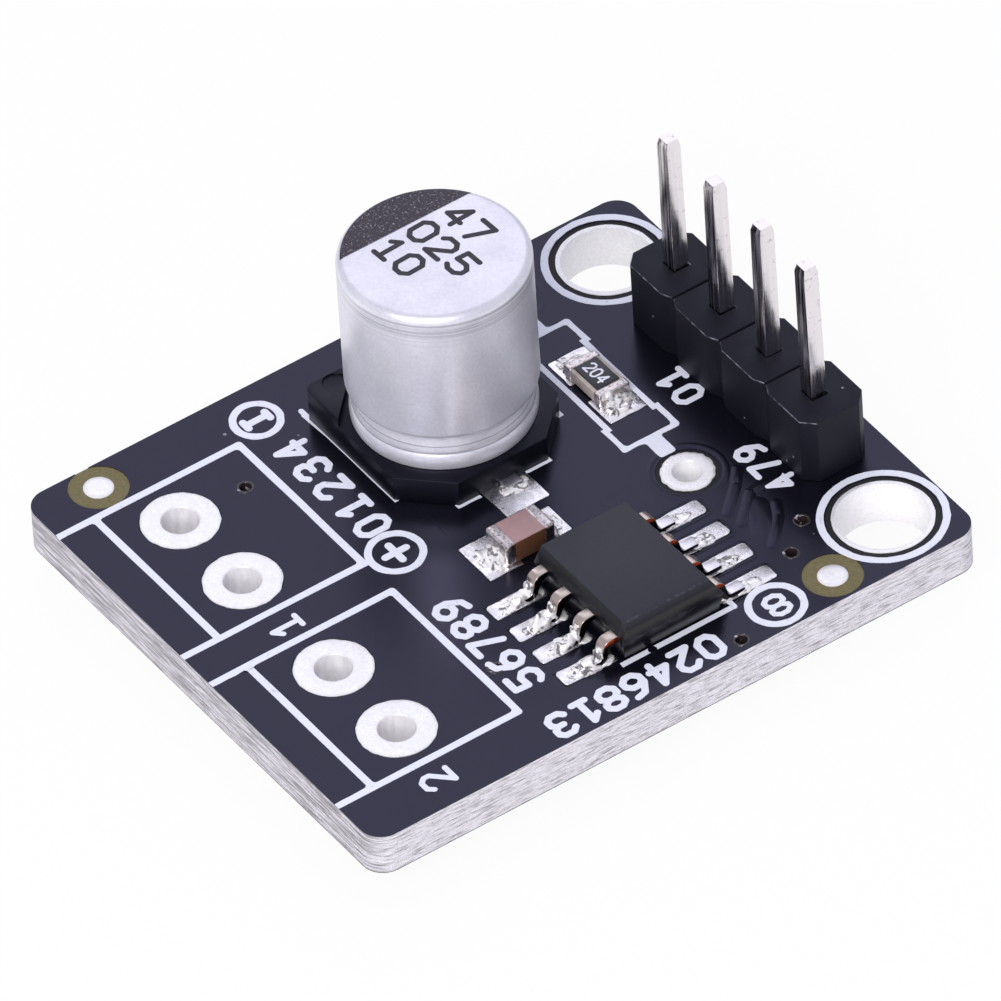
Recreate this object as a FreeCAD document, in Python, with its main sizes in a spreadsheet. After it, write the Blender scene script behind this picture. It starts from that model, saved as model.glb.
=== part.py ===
"""DC motor driver module: a small populated circuit board, as a parametric document.

Frame: millimetres, +Z up. The origin lies midway between the two mounting holes, in the
plane of the board's underside. +X runs along the row of header pins and mounting holes,
and +Y points to the board edge beside that row.
"""
import FreeCAD, Part
import os
import re
import Sketcher

# Driving dimensions: (name, millimetres, what it is)
SIZES = [
    ("board_length", 19.8, "board edge to edge along the header row"),
    ("board_depth", 23.5, "board edge to edge across the header row"),
    ("board_thickness", 1.6, "laminate with both solder masks"),
    ("board_corner", 0.8, "radius of the board's corners"),
    ("header_edge", 2.2, "mounting-hole row to the nearest board edge"),
    ("mask_thickness", 0.03, "solder mask on each face"),
    ("mask_gap", 0.03, "mask opening around a land, on each side"),
    ("land_rise", 0.02, "how far the tinned lands stand above the mask"),
    ("ink_thickness", 0.02, "printed outlines on the mask"),
    ("ink_width", 0.2, "stroke of the thin printed lines"),
    ("ink_width_bold", 0.25, "stroke of the bold printed lines"),
    ("barrel_wall", 0.07, "plating on the wall of a hole"),
    ("mounting_edge", 2.28, "mounting hole to the board's end"),
    ("mounting_bore", 3.0, "clear hole for a screw"),
    ("mounting_land", 3.5, "plated ring of a mounting hole"),
    ("mounting_relief", 3.74, "mask opening of a mounting hole"),
    ("terminal_edge", 3.52, "terminal holes to the board edge beside them"),
    ("terminal_pitch", 3.5, "between the two holes of one terminal"),
    ("terminal_inset", 5.61, "middle of a terminal to the board's end"),
    ("terminal_bore", 1.3, "clear hole of a terminal"),
    ("terminal_land", 2.6, "plated ring of a terminal hole"),
    ("block_width", 7.0, "printed terminal outline along the row"),
    ("block_depth", 7.0, "printed terminal outline from the board edge inwards"),
    ("block_mouth", 1.4, "printed line across each terminal outline, from the board edge"),
    ("axial_middle", -3.0, "middle between the two axial-resistor holes"),
    ("axial_row", -0.025, "row of the axial-resistor holes, from the first quarter of the depth"),
    ("axial_pitch", 10.16, "between the axial-resistor holes"),
    ("axial_bore", 0.95, "clear hole for an axial-resistor lead"),
    ("axial_land", 1.8, "plated ring of an axial-resistor hole"),
    ("axial_relief", 2.1, "mask opening of an axial-resistor hole"),
    ("outline_length", 6.1, "printed axial-resistor outline"),
    ("outline_width", 1.78, "printed axial-resistor outline at its waist"),
    ("outline_flare", 0.12, "how much wider its ends are, on each side"),
    ("outline_head", 1.1, "length of its wider ends"),
    ("outline_stub", 1.0, "printed lead stub beyond each end"),
    ("outline_stub_width", 0.62, "width of the printed lead stub"),
    ("pin_count", 4, "header pins"),
    ("pin_pitch", 2.54, "between header pins"),
    ("pin_offset", 0.18, "from the mounting holes' row to the pins' row"),
    ("pin_thickness", 0.64, "side of the square pin"),
    ("pin_top", 7.96, "pin tip above the board"),
    ("pin_tail", 1.3, "pin end below the board"),
    ("pin_tip_thickness", 0.36, "side of the tapered tip's flat"),
    ("pin_tip_length", 0.28, "length of the tapered tip"),
    ("header_height", 2.52, "header housing"),
    ("header_width", 2.46, "header housing across the row"),
    ("header_cut", 0.42, "cut corners of each header segment"),
    ("header_score", 0.1, "depth and width of the score between segments"),
    ("header_bore", 1.02, "plated hole of a header pin"),
    ("header_land", 1.7, "plated ring of a header pin"),
    ("cone_height", 0.95, "solder cone on a header pin"),
    ("cone_tip", 0.95, "solder cone's small diameter"),
    ("capacitor_x", -4.33, "axis of the electrolytic capacitor"),
    ("capacitor_y", 0.92, "axis of the electrolytic capacitor, from the board's middle"),
    ("can_diameter", 6.3, "capacitor can"),
    ("can_height", 6.7, "capacitor can above its base"),
    ("can_shoulder", 0.4, "rounded top edge of the can"),
    ("flange_diameter", 6.08, "rolled flange at the can's foot"),
    ("flange_height", 0.62, "rolled flange at the can's foot"),
    ("groove_diameter", 5.7, "groove above the flange"),
    ("groove_rise", 0.25, "from the flange up to the groove's floor"),
    ("groove_flare", 0.42, "from the groove's floor up to the can wall"),
    ("flange_round", 0.13, "rounded edges of the flange"),
    ("base_side", 6.45, "moulded capacitor base"),
    ("base_height", 0.96, "moulded capacitor base"),
    ("base_cut", 1.5, "cut corners on the base's marked side"),
    ("base_trim", 0.2, "small cut on the base's square corners"),
    ("post_rise", 0.33, "raised corners above the base"),
    ("post_gap", 0.05, "between the can and the raised corners"),
    ("dimple_diameter", 0.86, "round mark in each raised corner"),
    ("dimple_depth", 0.08, "round mark in each raised corner"),
    ("dimple_inset", 0.92, "round mark from the base's side edge"),
    ("dimple_end_inset", 0.46, "round mark from the base's end"),
    ("blade_width", 0.65, "flat capacitor lead"),
    ("blade_thickness", 0.15, "flat capacitor lead"),
    ("blade_start", 1.1, "inner end of the lead from the can's axis"),
    ("blade_end", 3.62, "outer end of the lead from the can's axis"),
    ("blade_gap", 0.04, "clearance of the lead in its channel"),
    ("blade_shift", 0.16, "leads off the can's axis, towards the header"),
    ("capacitor_land_start", 1.9, "inner end of the land from the axis"),
    ("capacitor_land_end", 4.6, "outer end of the land from the axis"),
    ("capacitor_land_width", 1.66, "width of the land"),
    ("chip_x", 5.62, "middle of the chip"),
    ("chip_y", 1.08, "middle of the chip, from the board's middle"),
    ("chip_shift_x", -0.085, "from the chip's middle to its lands' middle"),
    ("chip_shift_y", 0.13, "from the chip's middle to its lands' middle"),
    ("chip_length", 4.9, "chip body along its lead rows"),
    ("chip_width", 3.9, "chip body across its lead rows"),
    ("chip_height", 1.45, "chip body"),
    ("chip_standoff", 0.08, "chip body above its lands"),
    ("chip_draft", 0.12, "how much the body narrows above and below its parting line"),
    ("chip_bevel", 0.3, "sloped top edge at one end"),
    ("lead_pitch", 1.27, "between chip leads"),
    ("lead_count", 4, "chip leads on each side"),
    ("lead_width", 0.42, "chip lead"),
    ("lead_thickness", 0.2, "chip lead"),
    ("lead_span", 6.0, "over the tips of opposite leads"),
    ("lead_foot", 0.62, "flat foot of a lead"),
    ("lead_shoulder", 0.26, "flat shoulder of a lead outside the body"),
    ("lead_root", 0.4, "lead inside the body"),
    ("lead_bend", 0.15, "inside radius of a lead's bends"),
    ("lead_land_span", 8.22, "over the outer ends of opposite lands"),
    ("lead_land_length", 2.0, "land of a lead"),
    ("lead_land_width", 0.7, "land of a lead"),
    ("slug_length", 3.1, "heat slug under the chip, along the rows"),
    ("slug_width", 2.4, "heat slug under the chip, across the rows"),
    ("slug_thickness", 0.2, "heat slug under the chip"),
    ("slug_land_margin", 0.1, "heat land beyond the slug on each side"),
    ("resistor_x", -3.0, "middle of the chip resistor"),
    ("resistor_y", 0.035, "middle of the chip resistor, from the first quarter of the depth"),
    ("resistor_length", 2.0, "chip resistor"),
    ("resistor_width", 1.22, "chip resistor"),
    ("resistor_height", 0.5, "chip resistor"),
    ("resistor_cap", 0.36, "metal end of the chip resistor"),
    ("resistor_cap_wall", 0.04, "thickness of its metal end"),
    ("overcoat_width", 0.88, "dark glass coat on the resistor"),
    ("overcoat_rise", 0.02, "dark coat above the metal ends"),
    ("resistor_land_span", 3.54, "over the resistor's two lands"),
    ("resistor_land_length", 1.3, "land of the resistor"),
    ("resistor_land_width", 1.46, "land of the resistor"),
    ("ceramic_x", 1.62, "middle of the ceramic capacitor"),
    ("ceramic_y", -0.32, "middle of the ceramic capacitor, from the board's middle"),
    ("ceramic_length", 1.94, "ceramic capacitor"),
    ("ceramic_width", 1.22, "ceramic capacitor"),
    ("ceramic_height", 0.9, "ceramic capacitor"),
    ("ceramic_cap", 0.44, "metal end of the ceramic capacitor"),
    ("ceramic_cap_wall", 0.03, "thickness of its metal end"),
    ("front_land_middle", 1.44, "land on the terminal side, along the board"),
    ("front_land_width", 1.82, "land on the terminal side"),
    ("front_land_end", -2.02, "outer end of that land, from the board's middle"),
    ("rear_land_middle", 1.31, "land on the header side, along the board"),
    ("rear_land_width", 1.34, "land on the header side"),
    ("rear_land_end", 1.42, "outer end of that land, from the board's middle"),
    ("ceramic_land_length", 1.3, "length of the ceramic capacitor's lands"),
    ("solder_toe", 0.3, "solder beyond a metal end or lead tip"),
    ("solder_climb", 0.55, "share of a metal end's height that solder climbs"),
    ("solder_cover", 0.9, "share of a metal end's width that solder covers"),
    ("lead_climb", 0.8, "share of a chip lead's thickness that solder climbs"),
    ("fiducial_dot", 1.0, "round alignment dot"),
    ("fiducial_relief", 2.0, "mask opening of an alignment dot"),
    ("via_bore", 0.4, "plated through hole between layers"),
    ("via_wall", 0.06, "its plating"),
    ("via_from_terminal", 2.53, "via behind the supply terminal, from the terminal row"),
    ("via_from_outline", 4.05, "via between chip and terminals, from the terminal row"),
    ("via_beside_chip", 0.07, "the same via, from the chip's middle"),
    ("via_inset", 0.45, "via at the board's end"),
    ("via_from_chip", 1.62, "the same via, from the chip's middle"),
    ("first_via_step", 0.53, "via near the header, from the chip's middle"),
    ("first_via_row", -2.14, "the same via, from the mounting holes' row"),
    ("second_via_step", 1.55, "via near the chip's leads, from the chip's middle"),
    ("second_via_row", 5.2, "the same via, from the chip's middle"),
    ("mark_row", 8.1, "printed ring marks of the supply terminal, from the terminal edge"),
    ("minus_inset", 1.52, "first ring mark to the board's end"),
    ("minus_ring", 1.55, "first ring mark"),
    ("plus_offset", 3.7, "second ring mark from the middle of its terminal"),
    ("plus_ring", 1.77, "second ring mark"),
    ("module_inset", 1.08, "third ring mark to the board's end"),
    ("module_row", -5.05, "third ring mark from the mounting holes' row"),
    ("module_ring", 1.79, "third ring mark"),
    ("dot_end_inset", 0.97, "first alignment dot to the board's end"),
    ("dot_edge_inset", 2.34, "first alignment dot to the terminal edge"),
    ("second_dot_inset", 1.08, "second alignment dot to the board's end"),
    ("second_dot_row", -2.84, "second alignment dot from the mounting holes' row"),
    ("outline_land_gap", 0.2, "printed capacitor outline clear of the land"),
    ("mounting_ring", 4.05, "printed ring around a mounting hole"),
]

doc = FreeCAD.newDocument("motor_driver_module")
sheet = doc.addObject("Spreadsheet::Sheet", "sizes")
for row, (alias, size, meaning) in enumerate(SIZES, start=1):
    sheet.set(f"A{row}", str(size))
    sheet.setAlias(f"A{row}", alias)
    sheet.set(f"B{row}", meaning)
doc.recompute()
WORDS = re.compile(r"\b(" + "|".join(alias for alias, size, meaning in SIZES) + r")\b")

# Levels above the board's underside and lines across the board, worked from the sizes
LAMINATE_TOP = "(board_thickness - mask_thickness)"
LAND_TOP = "(board_thickness + land_rise)"
LAND_THICKNESS = "(mask_thickness + land_rise)"
BASE_TOP = f"({LAND_TOP} + base_height)"
CHIP_BOTTOM = f"({LAND_TOP} + chip_standoff)"
CHIP_MIDDLE = f"({CHIP_BOTTOM} + chip_height / 2)"
TERMINAL_SIDE = "(header_edge - board_depth)"
TERMINAL_ROW = f"({TERMINAL_SIDE} + terminal_edge)"
SUPPLY_TERMINAL = "(terminal_inset - board_length / 2)"
MIDDLE_ROW = "(header_edge - board_depth / 2)"
QUARTER_ROW = "(header_edge - board_depth / 4)"
AXIAL_ROW = f"({QUARTER_ROW} + axial_row)"
RESISTOR_Y = f"({QUARTER_ROW} + resistor_y)"
CAPACITOR_Y = f"({MIDDLE_ROW} + capacitor_y)"
CHIP_Y = f"({MIDDLE_ROW} + chip_y)"
CERAMIC_Y = f"({MIDDLE_ROW} + ceramic_y)"

# Places on the board's top: alignment dots, vias, and ring marks with their diameters
FIDUCIALS = [("dot_end_inset - board_length / 2", f"{TERMINAL_SIDE} + dot_edge_inset"),
             ("board_length / 2 - second_dot_inset", "second_dot_row")]
VIA_PLACES = [(f"{SUPPLY_TERMINAL} - terminal_pitch / 2", f"{TERMINAL_ROW} + via_from_terminal"),
              ("chip_x + via_beside_chip", f"{TERMINAL_ROW} + via_from_outline"),
              ("board_length / 2 - via_inset", f"{CHIP_Y} + via_from_chip"),
              ("chip_x + first_via_step", "first_via_row"),
              ("chip_x + second_via_step", f"{CHIP_Y} + second_via_row")]
RING_MARKS = [("minus_inset - board_length / 2", f"{TERMINAL_SIDE} + mark_row", "minus_ring"),
              (f"{SUPPLY_TERMINAL} + plus_offset", f"{TERMINAL_SIDE} + mark_row", "plus_ring"),
              ("board_length / 2 - module_inset", "module_row", "module_ring")]

parts = {}


def linked(expression):
    """The same expression with each size read from the sheet."""
    return WORDS.sub(r"sizes.\1", str(expression))


def number(expression):
    """The value of an expression in millimetres."""
    return float(sheet.evalExpression(linked(expression)))


def bind(item, prop, expression):
    item.setExpression(prop, linked(expression))


def place(item, x="0", y="0", z="0"):
    """Ties an object's position to the sheet."""
    for axis, expression in zip("xyz", (x, y, z)):
        bind(item, f"Placement.Base.{axis}", expression)


def keep(name, item):
    """Makes an object a sub-part, under the name of its file."""
    item.Label = name
    parts[name] = item
    return item


def new_body(name):
    body = doc.addObject("PartDesign::Body", name)
    body.Label = name
    return body


def new_sketch(body, role="XY_Plane", height="0"):
    """An empty sketch on one of the body's own origin planes, raised by height."""
    sketch = body.newObject("Sketcher::SketchObject", f"{body.Name}_sketch")
    plane = next(item for item in body.Origin.OriginFeatures if item.Role == role)
    sketch.AttachmentSupport = [(plane, "")]
    sketch.MapMode = "FlatFace"
    bind(sketch, "AttachmentOffset.Base.z", height)
    return sketch


def fix_point(sketch, curve, end, x, y):
    """Holds one point of a curve at (x, y) by two distances tied to the sheet."""
    for kind, expression in (("DistanceX", x), ("DistanceY", y)):
        rule = Sketcher.Constraint(kind, -1, 1, curve, end, number(expression))
        bind(sketch, f"Constraints[{sketch.addConstraint(rule)}]", expression)


def draw_polygon(sketch, points):
    """A closed outline of straight sides through points given as expressions."""
    corners = [FreeCAD.Vector(number(x), number(y), 0) for x, y in points]
    first = sketch.GeometryCount
    count = len(points)
    for i, corner in enumerate(corners):
        sketch.addGeometry(Part.LineSegment(corner, corners[(i + 1) % count]))
    for i in range(count):
        sketch.addConstraint(Sketcher.Constraint("Coincident", first + i, 2, first + (i + 1) % count, 1))
    for i, (x, y) in enumerate(points):
        fix_point(sketch, first + i, 1, x, y)


def draw_box(sketch, x, y, width, depth):
    """A rectangle about the middle (x, y)."""
    left, right = f"{x} - {width} / 2", f"{x} + {width} / 2"
    front, back = f"{y} - {depth} / 2", f"{y} + {depth} / 2"
    draw_polygon(sketch, [(left, front), (right, front), (right, back), (left, back)])


def draw_circle(sketch, x, y, diameter):
    centre = FreeCAD.Vector(number(x), number(y), 0)
    circle = sketch.addGeometry(Part.Circle(centre, FreeCAD.Vector(0, 0, 1), number(diameter) / 2))
    fix_point(sketch, circle, 3, x, y)
    rule = Sketcher.Constraint("Diameter", circle, number(diameter))
    bind(sketch, f"Constraints[{sketch.addConstraint(rule)}]", diameter)


def pad(body, sketch, length, centred=False):
    feature = body.newObject("PartDesign::Pad", f"{body.Name}_pad")
    feature.Profile = sketch
    feature.Midplane = centred
    bind(feature, "Length", length)
    sketch.Visibility = False
    return feature


def pocket(body, sketch, depth, upward=False, centred=False):
    """Cuts a sketch's outlines into the body and makes sure that something came off."""
    doc.recompute()
    before = body.Shape.Volume
    feature = body.newObject("PartDesign::Pocket", f"{body.Name}_pocket")
    feature.Profile = sketch
    feature.Reversed = upward
    feature.Midplane = centred
    bind(feature, "Length", depth)
    doc.recompute()
    if body.Shape.Volume >= before:
        raise RuntimeError(f"{feature.Name} cuts nothing")
    return feature


def soften(body, radius, wanted):
    """Rounds the edges of the body that the wanted test picks."""
    doc.recompute()
    tip = body.Tip
    names = [f"Edge{i}" for i, edge in enumerate(tip.Shape.Edges, start=1) if wanted(edge)]
    feature = body.newObject("PartDesign::Fillet", f"{body.Name}_fillet")
    feature.Base = (tip, names)
    bind(feature, "Radius", radius)
    return feature


def near(a, b):
    return abs(a - b) < 1e-4


def upright(edge):
    """True for a straight edge along Z."""
    ends = [vertex.Point for vertex in edge.Vertexes]
    return len(ends) == 2 and near(ends[0].x, ends[1].x) and near(ends[0].y, ends[1].y)


def turned(name, points):
    """A body of revolution about its own Z axis, from (radius, height) points."""
    body = new_body(name)
    sketch = new_sketch(body, "XZ_Plane")
    draw_polygon(sketch, points)
    feature = body.newObject("PartDesign::Revolution", f"{name}_revolution")
    feature.Profile = sketch
    feature.ReferenceAxis = (sketch, ["V_Axis"])
    feature.Angle = 360
    return body


def block(name, x, y, z, width, depth, height):
    """A rectangular block, centred on (x, y) and standing on z."""
    box = doc.addObject("Part::Box", name)
    bind(box, "Length", width)
    bind(box, "Width", depth)
    bind(box, "Height", height)
    place(box, f"{x} - {width} / 2", f"{y} - {depth} / 2", z)
    return box


def disc(name, x, y, z, diameter, height):
    cylinder = doc.addObject("Part::Cylinder", name)
    bind(cylinder, "Radius", f"{diameter} / 2")
    bind(cylinder, "Height", height)
    place(cylinder, x, y, z)
    return cylinder


def without(name, base, tool):
    """The base with the tool's volume taken away."""
    cut = doc.addObject("Part::Cut", name)
    cut.Base = base
    cut.Tool = tool
    return cut


def together(name, items, kind="Part::Compound"):
    """Several like pieces as one object; kind Part::MultiFuse joins those that meet."""
    group = doc.addObject(kind, name)
    if kind == "Part::Compound":
        group.Links = items
    else:
        group.Shapes = items
    return group


def pair_signs():
    """Number and side of each of two mirrored pieces."""
    return ((1, -1), (2, 1))


# Places that more than one piece lines up with

def mounting_places():
    return [(f"{side} * (board_length / 2 - mounting_edge)", "0") for index, side in pair_signs()]


def terminal_places():
    return [(f"{end} * (board_length / 2 - terminal_inset) + {hole} * terminal_pitch / 2", TERMINAL_ROW)
            for end in (-1, 1) for hole in (-1, 1)]


def axial_places():
    return [(f"axial_middle + {side} * axial_pitch / 2", AXIAL_ROW) for index, side in pair_signs()]


def pin_places():
    return [(f"({i} - (pin_count - 1) / 2) * pin_pitch", "pin_offset")
            for i in range(round(number("pin_count")))]


def lead_places():
    """(x, side) of every chip lead, measured from the chip's middle."""
    steps = range(round(number("lead_count")))
    return [(f"({i} - (lead_count - 1) / 2) * lead_pitch", side) for side in (-1, 1) for i in steps]


def lands():
    """Every soldered land on the board's top: group, x, y, width, depth."""
    found = []
    for index, side in pair_signs():
        reach = "(capacitor_land_start + capacitor_land_end) / 2"
        found.append(("capacitor", f"capacitor_x + {side} * {reach}", CAPACITOR_Y,
                      "(capacitor_land_end - capacitor_land_start)", "capacitor_land_width"))
        reach = "(resistor_land_span - resistor_land_length) / 2"
        found.append(("resistor", f"resistor_x + {side} * {reach}", RESISTOR_Y,
                      "resistor_land_length", "resistor_land_width"))
    found.append(("ceramic", "front_land_middle", f"{MIDDLE_ROW} + front_land_end + ceramic_land_length / 2",
                  "front_land_width", "ceramic_land_length"))
    found.append(("ceramic", "rear_land_middle", f"{MIDDLE_ROW} + rear_land_end - ceramic_land_length / 2",
                  "rear_land_width", "ceramic_land_length"))
    for x, side in lead_places():
        reach = "(lead_land_span - lead_land_length) / 2"
        found.append(("chip", f"chip_x + chip_shift_x + {x}",
                      f"{CHIP_Y} + chip_shift_y + {side} * {reach}",
                      "lead_land_width", "lead_land_length"))
    found.append(("chip", "chip_x", CHIP_Y, "(slug_length + 2 * slug_land_margin)",
                  "(slug_width + 2 * slug_land_margin)"))
    return found


def board_outline(body, bottom, thickness):
    """A board-sized plate with rounded corners."""
    sketch = new_sketch(body, height=bottom)
    draw_box(sketch, "0", "header_edge - board_depth / 2", "board_length", "board_depth")
    pad(body, sketch, thickness)
    soften(body, "board_corner", upright)


def board():
    """The glass-fibre laminate and the solder mask on each of its faces."""
    plated = [(mounting_places(), "mounting_bore + 2 * barrel_wall"),
              (terminal_places(), "terminal_bore + 2 * barrel_wall"),
              (axial_places(), "axial_bore + 2 * barrel_wall"),
              (pin_places(), "header_bore + 2 * barrel_wall"),
              (VIA_PLACES, "via_bore + 2 * via_wall")]
    openings = [(mounting_places(), "mounting_relief"),
                (terminal_places(), "terminal_land + 2 * mask_gap"),
                (axial_places(), "axial_relief"),
                (pin_places(), "header_land + 2 * mask_gap"),
                (VIA_PLACES, "via_bore + 2 * via_wall")]
    dots = [(FIDUCIALS, "fiducial_relief")]
    layers = [("wiring_board", "mask_thickness", "board_thickness - 2 * mask_thickness", plated),
              ("solder_mask_top", LAMINATE_TOP, "mask_thickness", openings + dots),
              ("solder_mask_bottom", "0", "mask_thickness", openings)]
    for name, bottom, thickness, holes in layers:
        body = new_body(name)
        board_outline(body, bottom, thickness)
        sketch = new_sketch(body, height=bottom)
        for places, diameter in holes:
            for x, y in places:
                draw_circle(sketch, x, y, diameter)
        if name == "solder_mask_top":
            for group, x, y, width, depth in lands():
                draw_box(sketch, x, y, f"({width} + 2 * mask_gap)", f"({depth} + 2 * mask_gap)")
        pocket(body, sketch, thickness, upward=True)
        keep(name, body)


def hole_plating(name, place_xy, bore, land):
    """Barrel and both rings of a plated hole, turned in one piece."""
    inner, barrel, ring = f"{bore} / 2", f"{bore} / 2 + barrel_wall", f"{land} / 2"
    top, bottom = LAND_TOP, "-land_rise"
    body = turned(name, [(inner, bottom), (ring, bottom), (ring, f"{bottom} + {LAND_THICKNESS}"),
                         (barrel, f"{bottom} + {LAND_THICKNESS}"),
                         (barrel, f"{top} - {LAND_THICKNESS}"),
                         (ring, f"{top} - {LAND_THICKNESS}"), (ring, top), (inner, top)])
    place(body, *place_xy)
    keep(name, body)


def plated_holes():
    kinds = [("mounting", mounting_places()), ("terminal", terminal_places()),
             ("axial", axial_places()), ("header", pin_places())]
    for kind, places in kinds:
        for index, place_xy in enumerate(places, start=1):
            hole_plating(f"{kind}_hole_plating_{index}", place_xy, f"{kind}_bore", f"{kind}_land")
    barrels = []
    for index, (x, y) in enumerate(VIA_PLACES, start=1):
        outside = disc(f"via_outside_{index}", x, y, "0", "(via_bore + 2 * via_wall)", "board_thickness")
        inside = disc(f"via_inside_{index}", x, y, "0", "via_bore", "board_thickness")
        barrels.append(without(f"via_{index}", outside, inside))
    keep("via_platings", together("via_group", barrels))
    for index, (x, y) in enumerate(FIDUCIALS, start=1):
        dot = disc(f"fiducial_{index}", x, y, LAMINATE_TOP, "fiducial_dot", LAND_THICKNESS)
        keep(f"fiducial_dot_{index}", dot)


def solder_lands():
    """The tinned lands of each surface-mounted part."""
    groups = {}
    for index, (group, x, y, width, depth) in enumerate(lands(), start=1):
        land = block(f"land_{index}", x, y, LAMINATE_TOP, width, depth, LAND_THICKNESS)
        groups.setdefault(group, []).append(land)
    for group, items in groups.items():
        keep(f"{group}_lands", together(f"{group}_land_group", items))


def printed_outlines():
    """The printed rings and part outlines on the solder mask."""
    strokes = []

    def stroke(x_from, y_from, x_to, y_to, width):
        """A straight line along X or Y, from one middle point to the other."""
        name = f"stroke_{len(strokes) + 1}"
        x, y = f"({x_from} + {x_to}) / 2", f"({y_from} + {y_to}) / 2"
        length, depth = f"(abs({x_to} - {x_from}) + {width})", f"(abs({y_to} - {y_from}) + {width})"
        strokes.append(block(name, x, y, "board_thickness", length, depth, "ink_thickness"))

    def ring(x, y, diameter, width):
        name = f"ring_{len(strokes) + 1}"
        outside = disc(f"{name}_outside", x, y, "board_thickness", f"({diameter} + {width})", "ink_thickness")
        inside = disc(f"{name}_inside", x, y, "board_thickness", f"({diameter} - {width})", "ink_thickness")
        strokes.append(without(name, outside, inside))

    for x, y in mounting_places():
        ring(x, y, "mounting_ring", "ink_width_bold")
    for x, y, diameter in RING_MARKS:
        ring(x, y, diameter, "ink_width_bold")

    edge, back = f"({TERMINAL_SIDE} + ink_width_bold / 2)", f"({TERMINAL_SIDE} + block_depth)"
    mouth = f"({TERMINAL_SIDE} + block_mouth)"
    for side in (-1, 1):
        middle = f"{side} * (board_length / 2 - terminal_inset)"
        left, right = f"({middle} - block_width / 2)", f"({middle} + block_width / 2)"
        stroke(left, back, right, back, "ink_width_bold")
        stroke(left, mouth, right, mouth, "ink_width_bold")
        stroke(left, edge, left, back, "ink_width_bold")
        stroke(right, edge, right, back, "ink_width_bold")

    for side in (-1, 1):
        waist = f"({AXIAL_ROW} + {side} * outline_width / 2)"
        flare = f"({AXIAL_ROW} + {side} * (outline_width / 2 + outline_flare))"
        for end in (-1, 1):
            tip = f"(axial_middle + {end} * outline_length / 2)"
            neck = f"(axial_middle + {end} * (outline_length / 2 - outline_head))"
            stroke(neck, flare, tip, flare, "ink_width")
            stroke("axial_middle", waist, neck, waist, "ink_width")
    for end in (-1, 1):
        tip = f"(axial_middle + {end} * outline_length / 2)"
        half = "(outline_width / 2 + outline_flare)"
        stroke(tip, f"({AXIAL_ROW} - {half})", tip, f"({AXIAL_ROW} + {half})", "ink_width")
        middle = f"(axial_middle + {end} * (outline_length + outline_stub) / 2)"
        strokes.append(block(f"stub_{end + 2}", middle, AXIAL_ROW, "board_thickness",
                             "outline_stub", "outline_stub_width", "ink_thickness"))

    left, right = "(capacitor_x - base_side / 2)", "(capacitor_x + base_side / 2)"
    for side in (-1, 1):
        line = f"({CAPACITOR_Y} + {side} * base_side / 2)"
        stroke(left, line, f"({right} - base_cut)", line, "ink_width")
        near_land = f"({CAPACITOR_Y} + {side} * (capacitor_land_width / 2 + outline_land_gap))"
        stroke(right, near_land, right, f"({CAPACITOR_Y} + {side} * (base_side / 2 - base_cut))", "ink_width")

    end = "(chip_x + chip_length / 2)"
    stroke(end, f"({CHIP_Y} - chip_width / 2)", end, f"({CHIP_Y} + chip_width / 2 + ink_width)", "ink_width")
    keep("printed_outlines", together("print_group", strokes, "Part::MultiFuse"))


def header():
    """The pin header: a scored housing, four square pins and their solder cones."""
    body = new_body("header_housing")
    half, deep, cut = "pin_pitch / 2", "header_width / 2", "header_cut"
    sketch = new_sketch(body)
    draw_polygon(sketch, [(f"-{half}", f"-{deep} + {cut}"), (f"-{half} + {cut}", f"-{deep}"),
                          (f"{half} - {cut}", f"-{deep}"), (half, f"-{deep} + {cut}"),
                          (half, f"{deep} - {cut}"), (f"{half} - {cut}", deep),
                          (f"-{half} + {cut}", deep), (f"-{half}", f"{deep} - {cut}")])
    draw_box(sketch, "0", "0", "pin_thickness", "pin_thickness")
    segment = pad(body, sketch, "header_height")
    doc.recompute()
    row = body.newObject("PartDesign::LinearPattern", "header_row")
    row.Originals = [segment]
    row.Direction = (sketch, ["H_Axis"])
    bind(row, "Length", "(pin_count - 1) * pin_pitch")
    bind(row, "Occurrences", "pin_count")
    body.Tip = row
    scores = new_sketch(body, height="header_height - header_score")
    for i in range(1, round(number("pin_count"))):
        draw_box(scores, f"({i} - 0.5) * pin_pitch", "0", "header_score", "header_width")
    pocket(body, scores, "header_score", upward=True)
    place(body, pin_places()[0][0], "pin_offset", LAND_TOP)
    keep("header_housing", body)

    for index, (x, y) in enumerate(pin_places(), start=1):
        pin = new_body(f"header_pin_{index}")
        levels = [("-pin_tail", "pin_tip_thickness"), ("-pin_tail + pin_tip_length", "pin_thickness"),
                  ("board_thickness + pin_top - pin_tip_length", "pin_thickness"),
                  ("board_thickness + pin_top", "pin_tip_thickness")]
        sections = []
        for height, side in levels:
            section = new_sketch(pin, height=height)
            draw_box(section, "0", "0", side, side)
            sections.append(section)
        loft = pin.newObject("PartDesign::AdditiveLoft", f"{pin.Name}_loft")
        loft.Profile = sections[0]
        loft.Sections = sections[1:]
        loft.Ruled = True
        place(pin, x, y)
        keep(f"header_pin_{index}", pin)

        solder = turned(f"header_solder_{index}",
                        [("0", "-cone_height"), ("cone_tip / 2", "-cone_height"),
                         ("header_land / 2", "-land_rise"), ("header_bore / 2", "-land_rise"),
                         ("header_bore / 2", LAND_TOP), ("0", LAND_TOP)])
        around = new_sketch(solder, height="-cone_height")
        draw_box(around, "0", "0", "pin_thickness", "pin_thickness")
        pocket(solder, around, f"cone_height + {LAND_TOP}", upward=True)
        place(solder, x, y)
        keep(f"header_solder_{index}", solder)


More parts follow.
